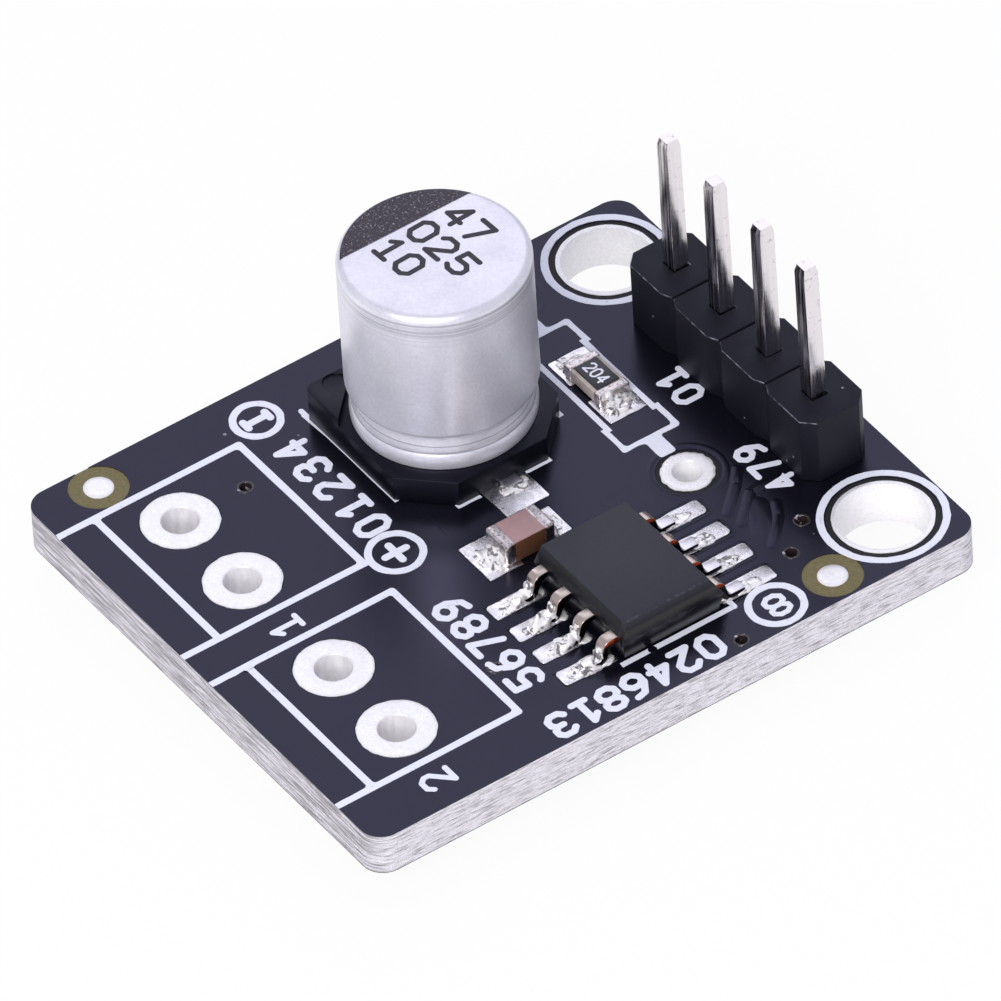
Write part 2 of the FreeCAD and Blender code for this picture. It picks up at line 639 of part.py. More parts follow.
def electrolytic():
    """The round capacitor: its can, moulded base, two flat leads and their solder."""
    groove, wall = "flange_height + groove_rise", "flange_height + groove_rise + groove_flare"
    can = turned("capacitor_can",
                 [("0", "0"), ("flange_diameter / 2", "0"), ("flange_diameter / 2", "flange_height"),
                  ("groove_diameter / 2", groove), ("can_diameter / 2", wall),
                  ("can_diameter / 2", "can_height"), ("0", "can_height")])
    top, flange = number("can_height"), number("flange_height")
    soften(can, "can_shoulder", lambda edge: near(edge.BoundBox.ZMin, top) and near(edge.BoundBox.ZMax, top))
    soften(can, "flange_round",
           lambda edge: near(edge.BoundBox.ZMax, edge.BoundBox.ZMin) and edge.BoundBox.ZMax < flange + 1e-3)
    place(can, "capacitor_x", CAPACITOR_Y, BASE_TOP)
    keep("capacitor_can", can)

    base = new_body("capacitor_base")
    half, cut, trim = "base_side / 2", "base_cut", "base_trim"
    outline = new_sketch(base)
    draw_polygon(outline, [(f"-{half} + {trim}", f"-{half}"), (f"{half} - {cut}", f"-{half}"),
                           (half, f"-{half} + {cut}"), (half, f"{half} - {cut}"),
                           (f"{half} - {cut}", half), (f"-{half} + {trim}", half),
                           (f"-{half}", f"{half} - {trim}"), (f"-{half}", f"-{half} + {trim}")])
    pad(base, outline, "base_height")
    # The raised corners end on a slanted line just clear of the can
    slant = "((can_diameter / 2 + post_gap) * sqrt(2))"
    posts = new_sketch(base, height="base_height")
    for side in (-1, 1):
        draw_polygon(posts, [(f"-{half} + {trim}", f"{side} * {half}"),
                             (f"-{half}", f"{side} * ({half} - {trim})"),
                             (f"-{half}", f"{side} * ({slant} - {half})"),
                             (f"{half} - {slant}", f"{side} * {half}")])
    pad(base, posts, "post_rise")
    marks = new_sketch(base, height="base_height + post_rise - dimple_depth")
    for side in (-1, 1):
        draw_circle(marks, f"-{half} + dimple_end_inset", f"{side} * ({half} - dimple_inset)",
                    "dimple_diameter")
    pocket(base, marks, "dimple_depth", upward=True)
    channels = new_sketch(base)
    for side in (-1, 1):
        reach = f"({half} - blade_start + blade_gap)"
        middle = f"{side} * ({half} - {reach} / 2)"
        draw_box(channels, middle, "blade_shift", reach, "(blade_width + 2 * blade_gap)")
    pocket(base, channels, "blade_thickness", upward=True)
    place(base, "capacitor_x", CAPACITOR_Y, LAND_TOP)
    keep("capacitor_base", base)

    fillets, lead_y = [], f"{CAPACITOR_Y} + blade_shift"
    for index, side in pair_signs():
        middle = f"capacitor_x + {side} * (blade_start + blade_end) / 2"
        lead = block(f"blade_{index}", middle, lead_y, LAND_TOP,
                     "(blade_end - blade_start)", "blade_width", "blade_thickness")
        keep(f"capacitor_terminal_{index}", lead)
        fillets.append(wedge(f"blade_solder_{index}", f"capacitor_x + {side} * blade_end", lead_y,
                             90 - 90 * side, "solder_toe", "blade_thickness", "blade_width"))
    keep("capacitor_solder", together("capacitor_solder_group", fillets))


def wedge(name, x, y, turn, reach, climb, width):
    """A solder fillet on the lands: it climbs a face at (x, y) and thins out along turn degrees."""
    body = new_body(name)
    sketch = new_sketch(body, "XZ_Plane")
    draw_polygon(sketch, [("0", "0"), (reach, "0"), ("0", climb)])
    pad(body, sketch, width, centred=True)
    body.Placement = FreeCAD.Placement(FreeCAD.Vector(), FreeCAD.Rotation(FreeCAD.Vector(0, 0, 1), turn))
    place(body, x, y, LAND_TOP)
    return body


def lead_body(index, x, side):
    """A gull-wing lead: shoulder out of the body, slope down and flat foot on its land."""
    body = new_body(f"chip_lead_{index}")
    upper, lower = f"{CHIP_MIDDLE} + lead_thickness / 2", f"{CHIP_MIDDLE} - lead_thickness / 2"
    root, tip = "(chip_width / 2 - lead_root)", "(lead_span / 2)"
    bend_top, bend_low = "(chip_width / 2 + lead_shoulder)", "(lead_span / 2 - lead_foot)"
    sketch = new_sketch(body, "YZ_Plane")
    lean = "lead_thickness"
    draw_polygon(sketch, [(root, lower), (f"{bend_top} - {lean}", lower),
                          (f"{bend_low} - {lean}", LAND_TOP), (tip, LAND_TOP),
                          (tip, f"{LAND_TOP} + lead_thickness"),
                          (bend_low, f"{LAND_TOP} + lead_thickness"),
                          (bend_top, upper), (root, upper)])
    pad(body, sketch, "lead_width", centred=True)
    heights = [number(lower), number(f"{LAND_TOP} + lead_thickness")]
    outer_heights = [number(upper), number(LAND_TOP)]
    ends = [number(root), number(tip)]

    def bends(levels):
        def wanted(edge):
            box = edge.BoundBox
            across = near(box.YMin, box.YMax) and near(box.ZMin, box.ZMax)
            at_end = any(near(box.YMin, y) for y in ends)
            return across and not at_end and any(near(box.ZMin, level) for level in levels)
        return wanted

    soften(body, "lead_bend", bends(heights))
    soften(body, "lead_bend + lead_thickness", bends(outer_heights))
    turn = 0 if side > 0 else 180
    body.Placement = FreeCAD.Placement(FreeCAD.Vector(), FreeCAD.Rotation(FreeCAD.Vector(0, 0, 1), turn))
    place(body, f"chip_x + {x}", CHIP_Y)
    return keep(f"chip_lead_{index}", body)


def chip():
    """The motor driver chip: moulded body, eight leads, heat slug and solder."""
    leads, fillets = [], []
    for index, (x, side) in enumerate(lead_places(), start=1):
        leads.append(lead_body(index, x, side))
        fillets.append(wedge(f"lead_solder_{index}", f"chip_x + {x}", f"{CHIP_Y} + {side} * lead_span / 2",
                             90 * side, "solder_toe", "lead_thickness * lead_climb", "lead_width"))
    slug = block("slug", "chip_x", CHIP_Y, LAND_TOP, "slug_length", "slug_width", "slug_thickness")
    keep("chip_heat_slug", slug)
    keep("chip_solder", together("chip_solder_group", fillets))

    mould = new_body("chip_mould")
    sections = []
    for height, inset in [("0", "chip_draft"), ("chip_height / 2", "0"), ("chip_height", "chip_draft")]:
        section = new_sketch(mould, height=height)
        draw_box(section, "0", "0", f"(chip_length - 2 * {inset})", f"(chip_width - 2 * {inset})")
        sections.append(section)
    loft = mould.newObject("PartDesign::AdditiveLoft", "chip_loft")
    loft.Profile = sections[0]
    loft.Sections = sections[1:]
    loft.Ruled = True
    bevel = new_sketch(mould, "XZ_Plane")
    draw_polygon(bevel, [("chip_length / 2 - chip_draft - chip_bevel", "chip_height"),
                         ("chip_length / 2", "chip_height - chip_bevel"),
                         ("chip_length / 2", "chip_height")])
    pocket(mould, bevel, "chip_width", centred=True)
    place(mould, "chip_x", CHIP_Y, CHIP_BOTTOM)
    keep("chip_body", without("chip_cut", mould, together("chip_inserts", leads + [slug], "Part::MultiFuse")))


def capped_block(name, x, y, length, width, height, cap, wall, along):
    """A chip part's core and its two metal ends; along is 0 for X and 90 for Y."""
    def standing(item, rise):
        """Turns the item to the part's direction and sets it on the lands."""
        item.Placement = FreeCAD.Placement(FreeCAD.Vector(), FreeCAD.Rotation(FreeCAD.Vector(0, 0, 1), along))
        place(item, x, y, f"{LAND_TOP} + {rise}")
        return item

    def centred(label, middle, long, wide, high):
        """A block about (middle, 0) along the part, cut from a plain body so that it can be turned."""
        body = new_body(label)
        sketch = new_sketch(body)
        draw_box(sketch, middle, "0", long, wide)
        pad(body, sketch, high)
        return body

    core = centred(f"{name}_core", "0", f"({length} - 2 * {wall})", f"({width} - 2 * {wall})",
                   f"({height} - 2 * {wall})")
    keep(f"{name}_body", standing(core, wall))
    for index, side in pair_signs():
        shell = centred(f"{name}_shell_{index}", f"({side} * ({length} - {cap}) / 2)", cap, width, height)
        keep(f"{name}_end_cap_{index}", without(f"{name}_end_{index}", standing(shell, "0"), core))
    fillets = []
    for index, side in pair_signs():
        dx, dy = (f"{side} * {length} / 2", "0") if along == 0 else ("0", f"{side} * {length} / 2")
        direction = along + (0 if side > 0 else 180)
        fillets.append(wedge(f"{name}_fillet_{index}", f"{x} + {dx}", f"{y} + {dy}", direction,
                             "solder_toe", f"{height} * solder_climb", f"{width} * solder_cover"))
    keep(f"{name}_solder", together(f"{name}_solder_group", fillets))


def chip_resistor():
    capped_block("resistor", "resistor_x", RESISTOR_Y, "resistor_length", "resistor_width",
                 "resistor_height", "resistor_cap", "resistor_cap_wall", 0)
    coat = block("coat", "resistor_x", RESISTOR_Y, f"{LAND_TOP} + resistor_height - resistor_cap_wall",
                 "(resistor_length - 2 * resistor_cap)", "overcoat_width",
                 "(resistor_cap_wall + overcoat_rise)")
    keep("resistor_overcoat", coat)


def ceramic_capacitor():
    capped_block("ceramic", "ceramic_x", CERAMIC_Y, "ceramic_length", "ceramic_width",
                 "ceramic_height", "ceramic_cap", "ceramic_cap_wall", 90)


board()
plated_holes()
solder_lands()
printed_outlines()
header()
electrolytic()
chip()
chip_resistor()
ceramic_capacitor()
doc.recompute()

broken = [item.Name for item in doc.Objects if {"Invalid", "Error"} & set(item.State)]
if broken:
    raise RuntimeError(f"objects that failed: {broken}")
for name, item in parts.items():
    if item.Shape.isNull() or not item.Shape.isValid() or not item.Shape.Solids:
        raise RuntimeError(f"{name} has no valid shape")

os.makedirs("parts", exist_ok=True)
for name, item in parts.items():
    item.Shape.exportStep(f"parts/{name}.step")
print(len(parts), "sub-parts written")
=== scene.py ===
"""Looks of the DC motor driver module: a small circuit board with its parts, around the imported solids."""
import math
import bpy
import bmesh
from mathutils import Matrix, Vector, noise


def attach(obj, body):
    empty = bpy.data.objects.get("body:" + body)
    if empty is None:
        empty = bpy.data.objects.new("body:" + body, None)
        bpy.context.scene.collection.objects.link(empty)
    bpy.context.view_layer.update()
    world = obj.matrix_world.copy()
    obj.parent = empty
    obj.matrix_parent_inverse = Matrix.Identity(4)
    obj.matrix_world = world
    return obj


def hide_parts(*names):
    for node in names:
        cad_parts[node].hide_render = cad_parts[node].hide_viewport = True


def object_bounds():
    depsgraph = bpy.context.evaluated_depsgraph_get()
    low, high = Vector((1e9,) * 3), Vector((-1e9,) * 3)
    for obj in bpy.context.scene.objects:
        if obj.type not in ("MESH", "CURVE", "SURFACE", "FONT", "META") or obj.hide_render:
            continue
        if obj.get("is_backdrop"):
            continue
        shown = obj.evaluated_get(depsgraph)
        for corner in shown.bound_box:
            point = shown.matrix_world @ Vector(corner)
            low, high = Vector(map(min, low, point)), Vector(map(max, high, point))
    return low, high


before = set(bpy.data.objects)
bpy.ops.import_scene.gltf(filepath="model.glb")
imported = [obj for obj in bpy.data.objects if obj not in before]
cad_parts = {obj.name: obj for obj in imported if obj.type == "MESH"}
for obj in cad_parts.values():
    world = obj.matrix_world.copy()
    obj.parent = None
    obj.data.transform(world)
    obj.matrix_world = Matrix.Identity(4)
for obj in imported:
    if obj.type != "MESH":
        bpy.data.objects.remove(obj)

cad_low, cad_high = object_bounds()
scene = bpy.context.scene
scene.view_settings.view_transform = "Standard"

# ---------------------------------------------------------------------------------------------
# Studio: a long lens looks down on the board's corner from its right-hand front.
# The floor and the backdrop are white paper; a soft box stands to the left of the camera.
MM = 0.001
lens = bpy.data.cameras.new("camera")
lens.sensor_width = 36
lens.lens = 863.6
lens.clip_start = 0.01
lens.clip_end = 20
camera = bpy.data.objects.new("camera", lens)
stand = Vector((0.46917, -0.30756, 0.52645))
view_right = Vector((0.57379, 0.81755, -0.04869))
view_down = Vector((0.54198, -0.4236, -0.72582))
view_forward = Vector((-0.61402, 0.39008, -0.68615))
turn = Matrix((view_right, -view_down, -view_forward)).transposed().to_4x4()
camera.matrix_world = Matrix.Translation(stand) @ turn
scene.collection.objects.link(camera)
scene.camera = camera


def colour(code):
    """The linear colour of an sRGB hex value."""
    shares = [int(code[i:i + 2], 16) / 255 for i in (1, 3, 5)]
    return [s / 12.92 if s <= 0.04045 else ((s + 0.055) / 1.055) ** 2.4 for s in shares] + [1.0]


def node(tree, kind, inputs=(), **settings):
    """Adds a shader node; inputs gives each socket a value, a hex colour, an output, or a node,
    which stands for the first output that it has in use."""
    made = tree.nodes.new("ShaderNode" + kind)
    for name, value in settings.items():
        setattr(made, name, value)
    for socket, value in dict(inputs).items():
        if isinstance(value, bpy.types.Node):
            value = next(output for output in value.outputs if output.enabled)
        if isinstance(value, bpy.types.NodeSocket):
            tree.links.new(value, made.inputs[socket])
        else:
            made.inputs[socket].default_value = colour(value) if isinstance(value, str) else value
    return made


def new_material(name):
    """An empty material, its node tree and the object's coordinates for its patterns."""
    made = bpy.data.materials.new(name)
    made.use_nodes = True
    tree = made.node_tree
    tree.nodes.clear()
    return made, tree, node(tree, "TexCoord").outputs["Object"]


def soft_box(name, direction, distance, side, radiance, tint):
    """A square lamp that faces the board."""
    lamp = bpy.data.lights.new(name, "AREA")
    lamp.size = side
    lamp.energy = radiance * math.pi * side * side
    lamp.color = colour(tint)[:3]
    holder = bpy.data.objects.new(name, lamp)
    away = Vector(direction).normalized()
    facing_board = away.to_track_quat("Z", "Y").to_matrix().to_4x4()
    holder.matrix_world = Matrix.Translation(away * distance) @ facing_board
    scene.collection.objects.link(holder)


soft_box("key_soft_box", (0.52, -0.66, 0.62), 0.35, 0.22, 5.9, "#fffdfa")
soft_box("rear_soft_box", (-0.66, 0.42, 0.80), 0.40, 0.32, 0.8, "#f0f0ff")

world = bpy.data.worlds.new("paper_backdrop")
world.use_nodes = True
scene.world = world
tree = world.node_tree
tree.nodes.clear()
seen = node(tree, "LightPath")
sky = node(tree, "Background", {"Color": "#eeeefc", "Strength": 0.62})
paper = node(tree, "Background", {"Color": (1, 1, 1, 1), "Strength": 1.0})
backdrop = node(tree, "MixShader", {0: seen.outputs["Is Camera Ray"], 1: sky, 2: paper})
node(tree, "OutputWorld", {"Surface": backdrop})

# White paper, lifted towards pure white for the camera, so that only the soft shadow shows.
floor_paper, tree, _ = new_material("floor_paper")
seen = node(tree, "LightPath")
share = node(tree, "MapRange", {"Value": seen.outputs["Is Camera Ray"], "To Min": 0.75, "To Max": 0.94})
sheet = node(tree, "BsdfDiffuse", {"Color": "#f4f4f8"})
glow = node(tree, "Emission", {"Color": (1, 1, 1, 1), "Strength": 1.0})
mixed = node(tree, "MixShader", {0: share, 1: sheet, 2: glow})
node(tree, "OutputMaterial", {"Surface": mixed})
middle = Matrix.Translation((0, -9.5 * MM, cad_low.z - 0.01 * MM))
shape = bmesh.new()
bmesh.ops.create_circle(shape, cap_ends=True, segments=96, radius=450 * MM, matrix=middle)
mesh = bpy.data.meshes.new("floor")
shape.to_mesh(mesh)
shape.free()
mesh.materials.append(floor_paper)
floor = bpy.data.objects.new("floor", mesh)
scene.collection.objects.link(floor)
floor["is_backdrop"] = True

# ---------------------------------------------------------------------------------------------
# Laminate: layers of woven glass in epoxy resin, pressed to 1.6 mm and cut out with a router.
# The cut shows pale glass fibres in layers; where the lacquer leaves it bare it is olive.
DOTS = [(-8.93, -18.96), (8.82, -2.84)]


def per(size):
    """The scale that gives a pattern features of this size in millimetres."""
    return 1 / (size * MM)


# Gives a pale silver edge in fine level layers, torn darker along the front, and an olive weave
# around the alignment dots. Real fibres are 0.01 mm thick, too fine to show, so bundles of
# 0.05 mm and chips of 0.13 mm are drawn.
glass_fibre, tree, place = new_material("routed_glass_epoxy")
layers = node(tree, "Mapping", {"Vector": place, "Scale": (per(0.6667), per(0.6667), per(0.04762))})
streaks = node(tree, "TexNoise", {"Vector": layers, "Scale": 1.0, "Detail": 6.0, "Roughness": 0.62})
chips = node(tree, "TexNoise", {"Vector": place, "Scale": per(0.1333), "Detail": 4.0, "Roughness": 0.7})
dark_layers = node(tree, "MapRange", {"Value": streaks, "From Min": 0.47, "From Max": 0.66})
cut = node(tree, "Mix", {0: dark_layers, 6: "#e9e6ee", 7: "#8f898c"}, data_type="RGBA")
chipped = node(tree, "MapRange", {"Value": chips, "From Min": 0.60, "From Max": 0.74, "To Max": 0.75})
cut = node(tree, "Mix", {0: chipped, 6: cut, 7: "#8a8581"}, data_type="RGBA")
facing = node(tree, "SeparateXYZ", {0: node(tree, "NewGeometry").outputs["Normal"]})
upward = node(tree, "Math", {0: facing.outputs["Z"]}, operation="ABSOLUTE")
flat = node(tree, "MapRange", {"Value": upward, "From Min": 0.5, "From Max": 0.8})
weave = node(tree, "Mix", {0: chips, 6: "#857c55", 7: "#5f5839"}, data_type="RGBA")
clear = 1.0
for x, y in DOTS:
    reach = node(tree, "VectorMath", {0: place, 1: (x * MM, y * MM, 1.57 * MM)}, operation="DISTANCE")
    away = node(tree, "Math", {0: reach, 1: 1.15 * MM}, operation="GREATER_THAN")
    clear = node(tree, "Math", {0: clear, 1: away}, operation="MULTIPLY")
weave = node(tree, "Mix", {0: clear, 6: weave, 7: "#15151a"}, data_type="RGBA")
sawn = node(tree, "MapRange", {"Value": facing.outputs["Y"], "From Min": -0.3, "From Max": -0.9})
torn = node(tree, "Mapping", {"Vector": place, "Scale": (per(1.667), per(1.667), per(0.07692))})
fibres = node(tree, "TexNoise", {"Vector": torn, "Scale": 1.0, "Detail": 5.0, "Roughness": 0.6})
rough = node(tree, "MapRange", {"Value": fibres, "From Min": 0.42, "From Max": 0.6, "To Max": 0.75})
sawn = node(tree, "Math", {0: sawn, 1: rough}, operation="MULTIPLY")
cut = node(tree, "Mix", {0: sawn, 6: cut, 7: "#6d696f"}, data_type="RGBA")
shade = node(tree, "Mix", {0: flat, 6: cut, 7: weave}, data_type="RGBA")
height = node(tree, "Math", {0: streaks, 1: chips}, operation="ADD")
bump = node(tree, "Bump", {"Strength": 0.9, "Distance": 0.06 * MM, "Height": height})
skin = node(tree, "BsdfPrincipled", {"Base Color": shade, "Roughness": 0.62, "Normal": bump})
node(tree, "OutputMaterial", {"Surface": skin})


def dress(material, *names):
    """Gives CAD nodes that keep their own shape a finish."""
    for name in names:
        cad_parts[name].data.materials.clear()
        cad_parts[name].data.materials.append(material)


dress(glass_fibre, "wiring_board")

# ---------------------------------------------------------------------------------------------
# Solder mask: a black photo-cured epoxy lacquer, semi-gloss, over the copper on both faces.
# The copper tracks under it stand out as low ridges beside the header.
BOARD_TOP = 1.6


def dusted(tree, place, body, cell, core, edge, cover, tint):
    """Lays specks of dust on a colour, one in about 14 cells; core and edge are shares of a cell's size."""
    dust = node(tree, "TexVoronoi", {"Vector": place, "Scale": per(cell)})
    speck = node(tree, "MapRange", {"Value": dust.outputs["Distance"], "From Min": core, "From Max": edge,
                                    "To Min": cover, "To Max": 0.0})
    picked = node(tree, "SeparateColor", {0: dust.outputs["Color"]})
    rare = node(tree, "Math", {0: picked, 1: 0.93}, operation="GREATER_THAN")
    speck = node(tree, "Math", {0: speck, 1: rare}, operation="MULTIPLY")
    return node(tree, "Mix", {0: speck, 6: body, 7: tint}, data_type="RGBA")


# Gives near black with a violet sheen, broken by orange peel, a little dust and hair scratches.
# Real peel and dust are under 0.1 mm, too fine to show, so 0.4 mm swells and 0.05 mm specks are drawn.
black_mask, tree, place = new_material("black_solder_lacquer")
cloud = node(tree, "TexNoise", {"Vector": place, "Scale": per(3.846), "Detail": 3.0})
peel = node(tree, "TexNoise", {"Vector": place, "Scale": per(0.3846), "Detail": 5.0, "Roughness": 0.6})
body = node(tree, "Mix", {0: cloud, 6: "#0a0a11", 7: "#0f0f18"}, data_type="RGBA")
body = dusted(tree, place, body, 0.7692, 0.05, 0.10, 0.55, "#b9b9c4")
lines = node(tree, "Mapping", {"Vector": place, "Rotation": (0, 0, 0.5),
                               "Scale": (per(7.692), per(0.1923), 1)})
scratch = node(tree, "TexNoise", {"Vector": lines, "Scale": 1.0, "Detail": 2.0})
wear_and_highlight_breaks = node(tree, "MapRange", {"Value": scratch, "From Min": 0.72, "From Max": 0.8, "To Min": 0.24,
                               "To Max": 0.36})
bump = node(tree, "Bump", {"Strength": 0.35, "Distance": 0.006 * MM, "Height": peel})
skin = node(tree, "BsdfPrincipled", {"Base Color": body, "Roughness": wear_and_highlight_breaks, "Normal": bump,
                                     "Specular IOR Level": 0.5, "Specular Tint": "#d0ceff"})
node(tree, "OutputMaterial", {"Surface": skin})
dress(black_mask, "solder_mask_top", "solder_mask_bottom")


SHARP = math.radians(38)


def add_piece(name, shape, material, slot, *replaced):
    """Makes a shape in metres an object that rides with the board and may stand for CAD nodes."""
    bmesh.ops.recalc_face_normals(shape, faces=shape.faces)
    mesh = bpy.data.meshes.new(name)
    shape.to_mesh(mesh)
    shape.free()
    mesh.polygons.foreach_set("use_smooth", [True] * len(mesh.polygons))
    mesh.set_sharp_from_angle(angle=SHARP)
    mesh.materials.append(material)
    made = bpy.data.objects.new(name, mesh)
    scene.collection.objects.link(made)
    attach(made, "root")
    if replaced:
        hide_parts(*replaced)
    return made


def on_board(x, y, z=BOARD_TOP, turn=0.0):
    """From a drawing in millimetres to its place on the board, in metres."""
    return Matrix.Scale(MM, 4) @ Matrix.Translation((x, y, z)) @ Matrix.Rotation(math.radians(turn), 4, "Z")


def add_strokes(shape, paths, width, rise, place, slope=0.5):
    """Lays low rounded strokes along paths of (x, y) points: each run is the hull of four rings.
    Runs differ a hair in height, so that no two tops that cross share a plane."""
    runs = [ends for path in paths for ends in zip(path, path[1:])]
    for count, ends in enumerate(runs):
        top = rise * (1 + 0.03 * (count % 11))
        rim = []
        for x, y in ends:
            for radius, level in ((width / 2, -rise / 2), (width / 2 - slope * rise, top)):
                spot = place @ Matrix.Translation((x, y, level))
                rim += bmesh.ops.create_circle(shape, segments=16, radius=radius, matrix=spot)["verts"]
        bmesh.ops.convex_hull(shape, input=rim)


shape = bmesh.new()
tracks = [[(2.94, -2.35), (3.54, -2.86), (4.41, -3.80)], [(3.95, -1.5), (4.07, -2.66), (5.09, -3.72)],
          [(5.0, -2.3), (5.56, -2.62), (6.51, -3.53)]]
add_strokes(shape, tracks, 0.5, 0.03, on_board(0, 0), slope=5)
add_strokes(shape, [[(4.7, -2.85), (5.7, -3.35)]], 0.9, 0.018, on_board(0, 0), slope=8)
# The lacquer steps up around each of the chip's rear lands, and one drop of it has bridged a line.
for left in (3.28, 4.55, 5.82, 7.09):
    near, far, back, front, cut = left - 0.13, left + 0.83, -4.1, -6.3, 0.15
    step = [(near, front), (near, back - cut), (near + cut, back), (far - cut, back), (far, back - cut),
            (far, front)]
    add_strokes(shape, [step], 0.07, 0.014, on_board(0, 0))
add_strokes(shape, [[(8.09, -9.33), (8.09, -9.34)]], 0.32, 0.028, on_board(0, 0))
add_piece("covered_tracks", shape, black_mask, "black_solder_mask")

# ---------------------------------------------------------------------------------------------
# Legend: white epoxy ink, screen printed on the lacquer with slightly ragged strokes.
# Plain numbers stand where a legend goes; the strokes are rounded and of one width.

# Gives dead white with thin grey patches, where the screen has left too little ink.
white_ink, tree, place = new_material("screen_printed_ink")
cover = node(tree, "TexNoise", {"Vector": place, "Scale": per(0.2632), "Detail": 4.0, "Roughness": 0.65})
thin = node(tree, "MapRange", {"Value": cover, "From Min": 0.60, "From Max": 0.75, "To Max": 0.55})
body = node(tree, "Mix", {0: thin, 6: "#e8eaf7", 7: "#a9abba"}, data_type="RGBA")
bump = node(tree, "Bump", {"Strength": 0.5, "Distance": 0.01 * MM, "Height": cover})
skin = node(tree, "BsdfPrincipled", {"Base Color": body, "Roughness": 0.55, "Normal": bump})
node(tree, "OutputMaterial", {"Surface": skin})

NUMERALS = {
    "0": [[(0.3, 0), (0.7, 0), (1, 0.2), (1, 0.8), (0.7, 1), (0.3, 1), (0, 0.8), (0, 0.2), (0.3, 0)]],
    "1": [[(0.1, 0.75), (0.5, 1), (0.5, 0)], [(0.1, 0), (0.9, 0)]],
    "2": [[(0, 0.82), (0.25, 1), (0.75, 1), (1, 0.82), (1, 0.62), (0, 0), (1, 0)]],
    "3": [[(0, 0.85), (0.25, 1), (0.75, 1), (1, 0.85), (1, 0.65), (0.75, 0.52), (0.4, 0.52)],
          [(0.75, 0.52), (1, 0.38), (1, 0.15), (0.75, 0), (0.25, 0), (0, 0.15)]],
    "4": [[(0.75, 0), (0.75, 1), (0, 0.3), (1, 0.3)]],
    "5": [[(1, 1), (0.1, 1), (0.05, 0.55), (0.7, 0.58), (1, 0.42), (1, 0.18), (0.7, 0),
           (0.25, 0), (0, 0.12)]],
    "6": [[(0.9, 1), (0.4, 0.92), (0, 0.5), (0, 0.18), (0.3, 0), (0.7, 0), (1, 0.18),
           (1, 0.38), (0.7, 0.55), (0.3, 0.55), (0, 0.38)]],
    "7": [[(0, 1), (1, 1), (0.35, 0)]],
    "8": [[(0.3, 0.53), (0, 0.68), (0, 0.85), (0.3, 1), (0.7, 1), (1, 0.85), (1, 0.68),
           (0.7, 0.53), (0.3, 0.53), (0, 0.38), (0, 0.16), (0.3, 0), (0.7, 0), (1, 0.16),
           (1, 0.38), (0.7, 0.53)]],
    "9": [[(0.1, 0), (0.6, 0.08), (1, 0.5), (1, 0.82), (0.7, 1), (0.3, 1), (0, 0.82),
           (0, 0.62), (0.3, 0.45), (0.7, 0.45), (1, 0.62)]],
}


def add_number(shape, text, place, wide, high, pitch, width, rise):
    """Writes numerals from the origin of place along its X, as strokes of one width."""
    for i, numeral in enumerate(text):
        paths = [[(i * pitch + x * wide, y * high) for x, y in path] for path in NUMERALS[numeral]]
        add_strokes(shape, paths, width, rise, place)


INK_RISE = 0.02
shape = bmesh.new()
# Each legend: text, x, y, turn, width and height of a numeral, pitch, stroke.
legends = [("01234", -1.75, -12.55, 180, 0.62, 1.06, 1.11, 0.25),
           ("56789", 7.02, -12.78, 180, 0.62, 1.04, 1.02, 0.25),
           ("0246813", 8.62, -7.5, -90, 0.62, 0.98, 0.96, 0.25),
           ("01", -0.58, -1.15, 180, 0.56, 0.9, 0.95, 0.22),
           ("479", 4.58, -1.17, 180, 0.5, 0.9, 0.88, 0.22),
           ("1", 0.35, -17.4, 180, 0.62, 1.0, 1.0, 0.2),
           ("2", 9.05, -17.6, 180, 0.62, 1.0, 1.0, 0.2),
           ("8", 8.42, -4.72, -90, 0.62, 0.86, 1.0, 0.2)]
for text, x, y, turn, wide, high, pitch, width in legends:
    add_number(shape, text, on_board(x, y, turn=turn), wide, high, pitch, width, INK_RISE)
signs = [[(-8.38, -13.62), (-8.38, -12.78)], [(-8.55, -13.62), (-8.21, -13.62)],
         [(-8.55, -12.78), (-8.21, -12.78)],
         [(-0.99, -13.2), (-0.19, -13.2)], [(-0.59, -13.6), (-0.59, -12.8)]]
add_strokes(shape, signs, 0.27, INK_RISE, on_board(0, 0))
trim = [[(8.08, -6.14), (7.8, -6.14)], [(-7.85, -11.83), (-7.4, -11.83)], [(-1.1, -7.7), (-1.1, -6.9)]]
add_strokes(shape, trim, 0.2, INK_RISE, on_board(0, 0))
add_piece("printed_numbers", shape, white_ink, "white_ink")

# ---------------------------------------------------------------------------------------------
# Plated holes: copper barrels and rings, dipped in molten tin and blown clear with hot air.
# The tin sets in a low dome with a wavy edge, bright and a little mottled.

# Gives a whitish, softly mottled silver; the bores of the terminal holes carry darker upright streaks,
# drill marks with painted shade of the bore.
# Its grain is drawn at 0.11 mm, as the real crystals are too fine to show.
hot_tin, tree, place = new_material("hot_air_levelled_tin")
ripple = node(tree, "TexNoise", {"Vector": place, "Scale": per(0.2941), "Detail": 4.0, "Roughness": 0.6})
grain = node(tree, "TexNoise", {"Vector": place, "Scale": per(0.1111), "Detail": 3.0})
body = node(tree, "Mix", {0: grain, 6: "#ffffff", 7: "#e2e0e4"}, data_type="RGBA")
gloss = node(tree, "MapRange", {"Value": ripple, "From Min": 0.3, "From Max": 0.7, "To Min": 0.22,
                                "To Max": 0.42})
bump = node(tree, "Bump", {"Strength": 0.35, "Distance": 0.014 * MM, "Height": ripple})
facing = node(tree, "SeparateXYZ", {0: node(tree, "NewGeometry").outputs["Normal"]})
upward = node(tree, "Math", {0: facing.outputs["Z"]}, operation="ABSOLUTE")
spot = node(tree, "SeparateXYZ", {0: place})
# Drill marks with painted shade: upright darker streaks on the walls of the terminal bores only.
drilled = node(tree, "Mapping", {"Vector": place, "Scale": (per(0.2), per(0.2), per(1.111))})
streaks = node(tree, "TexNoise", {"Vector": drilled, "Scale": 1.0, "Detail": 3.0})
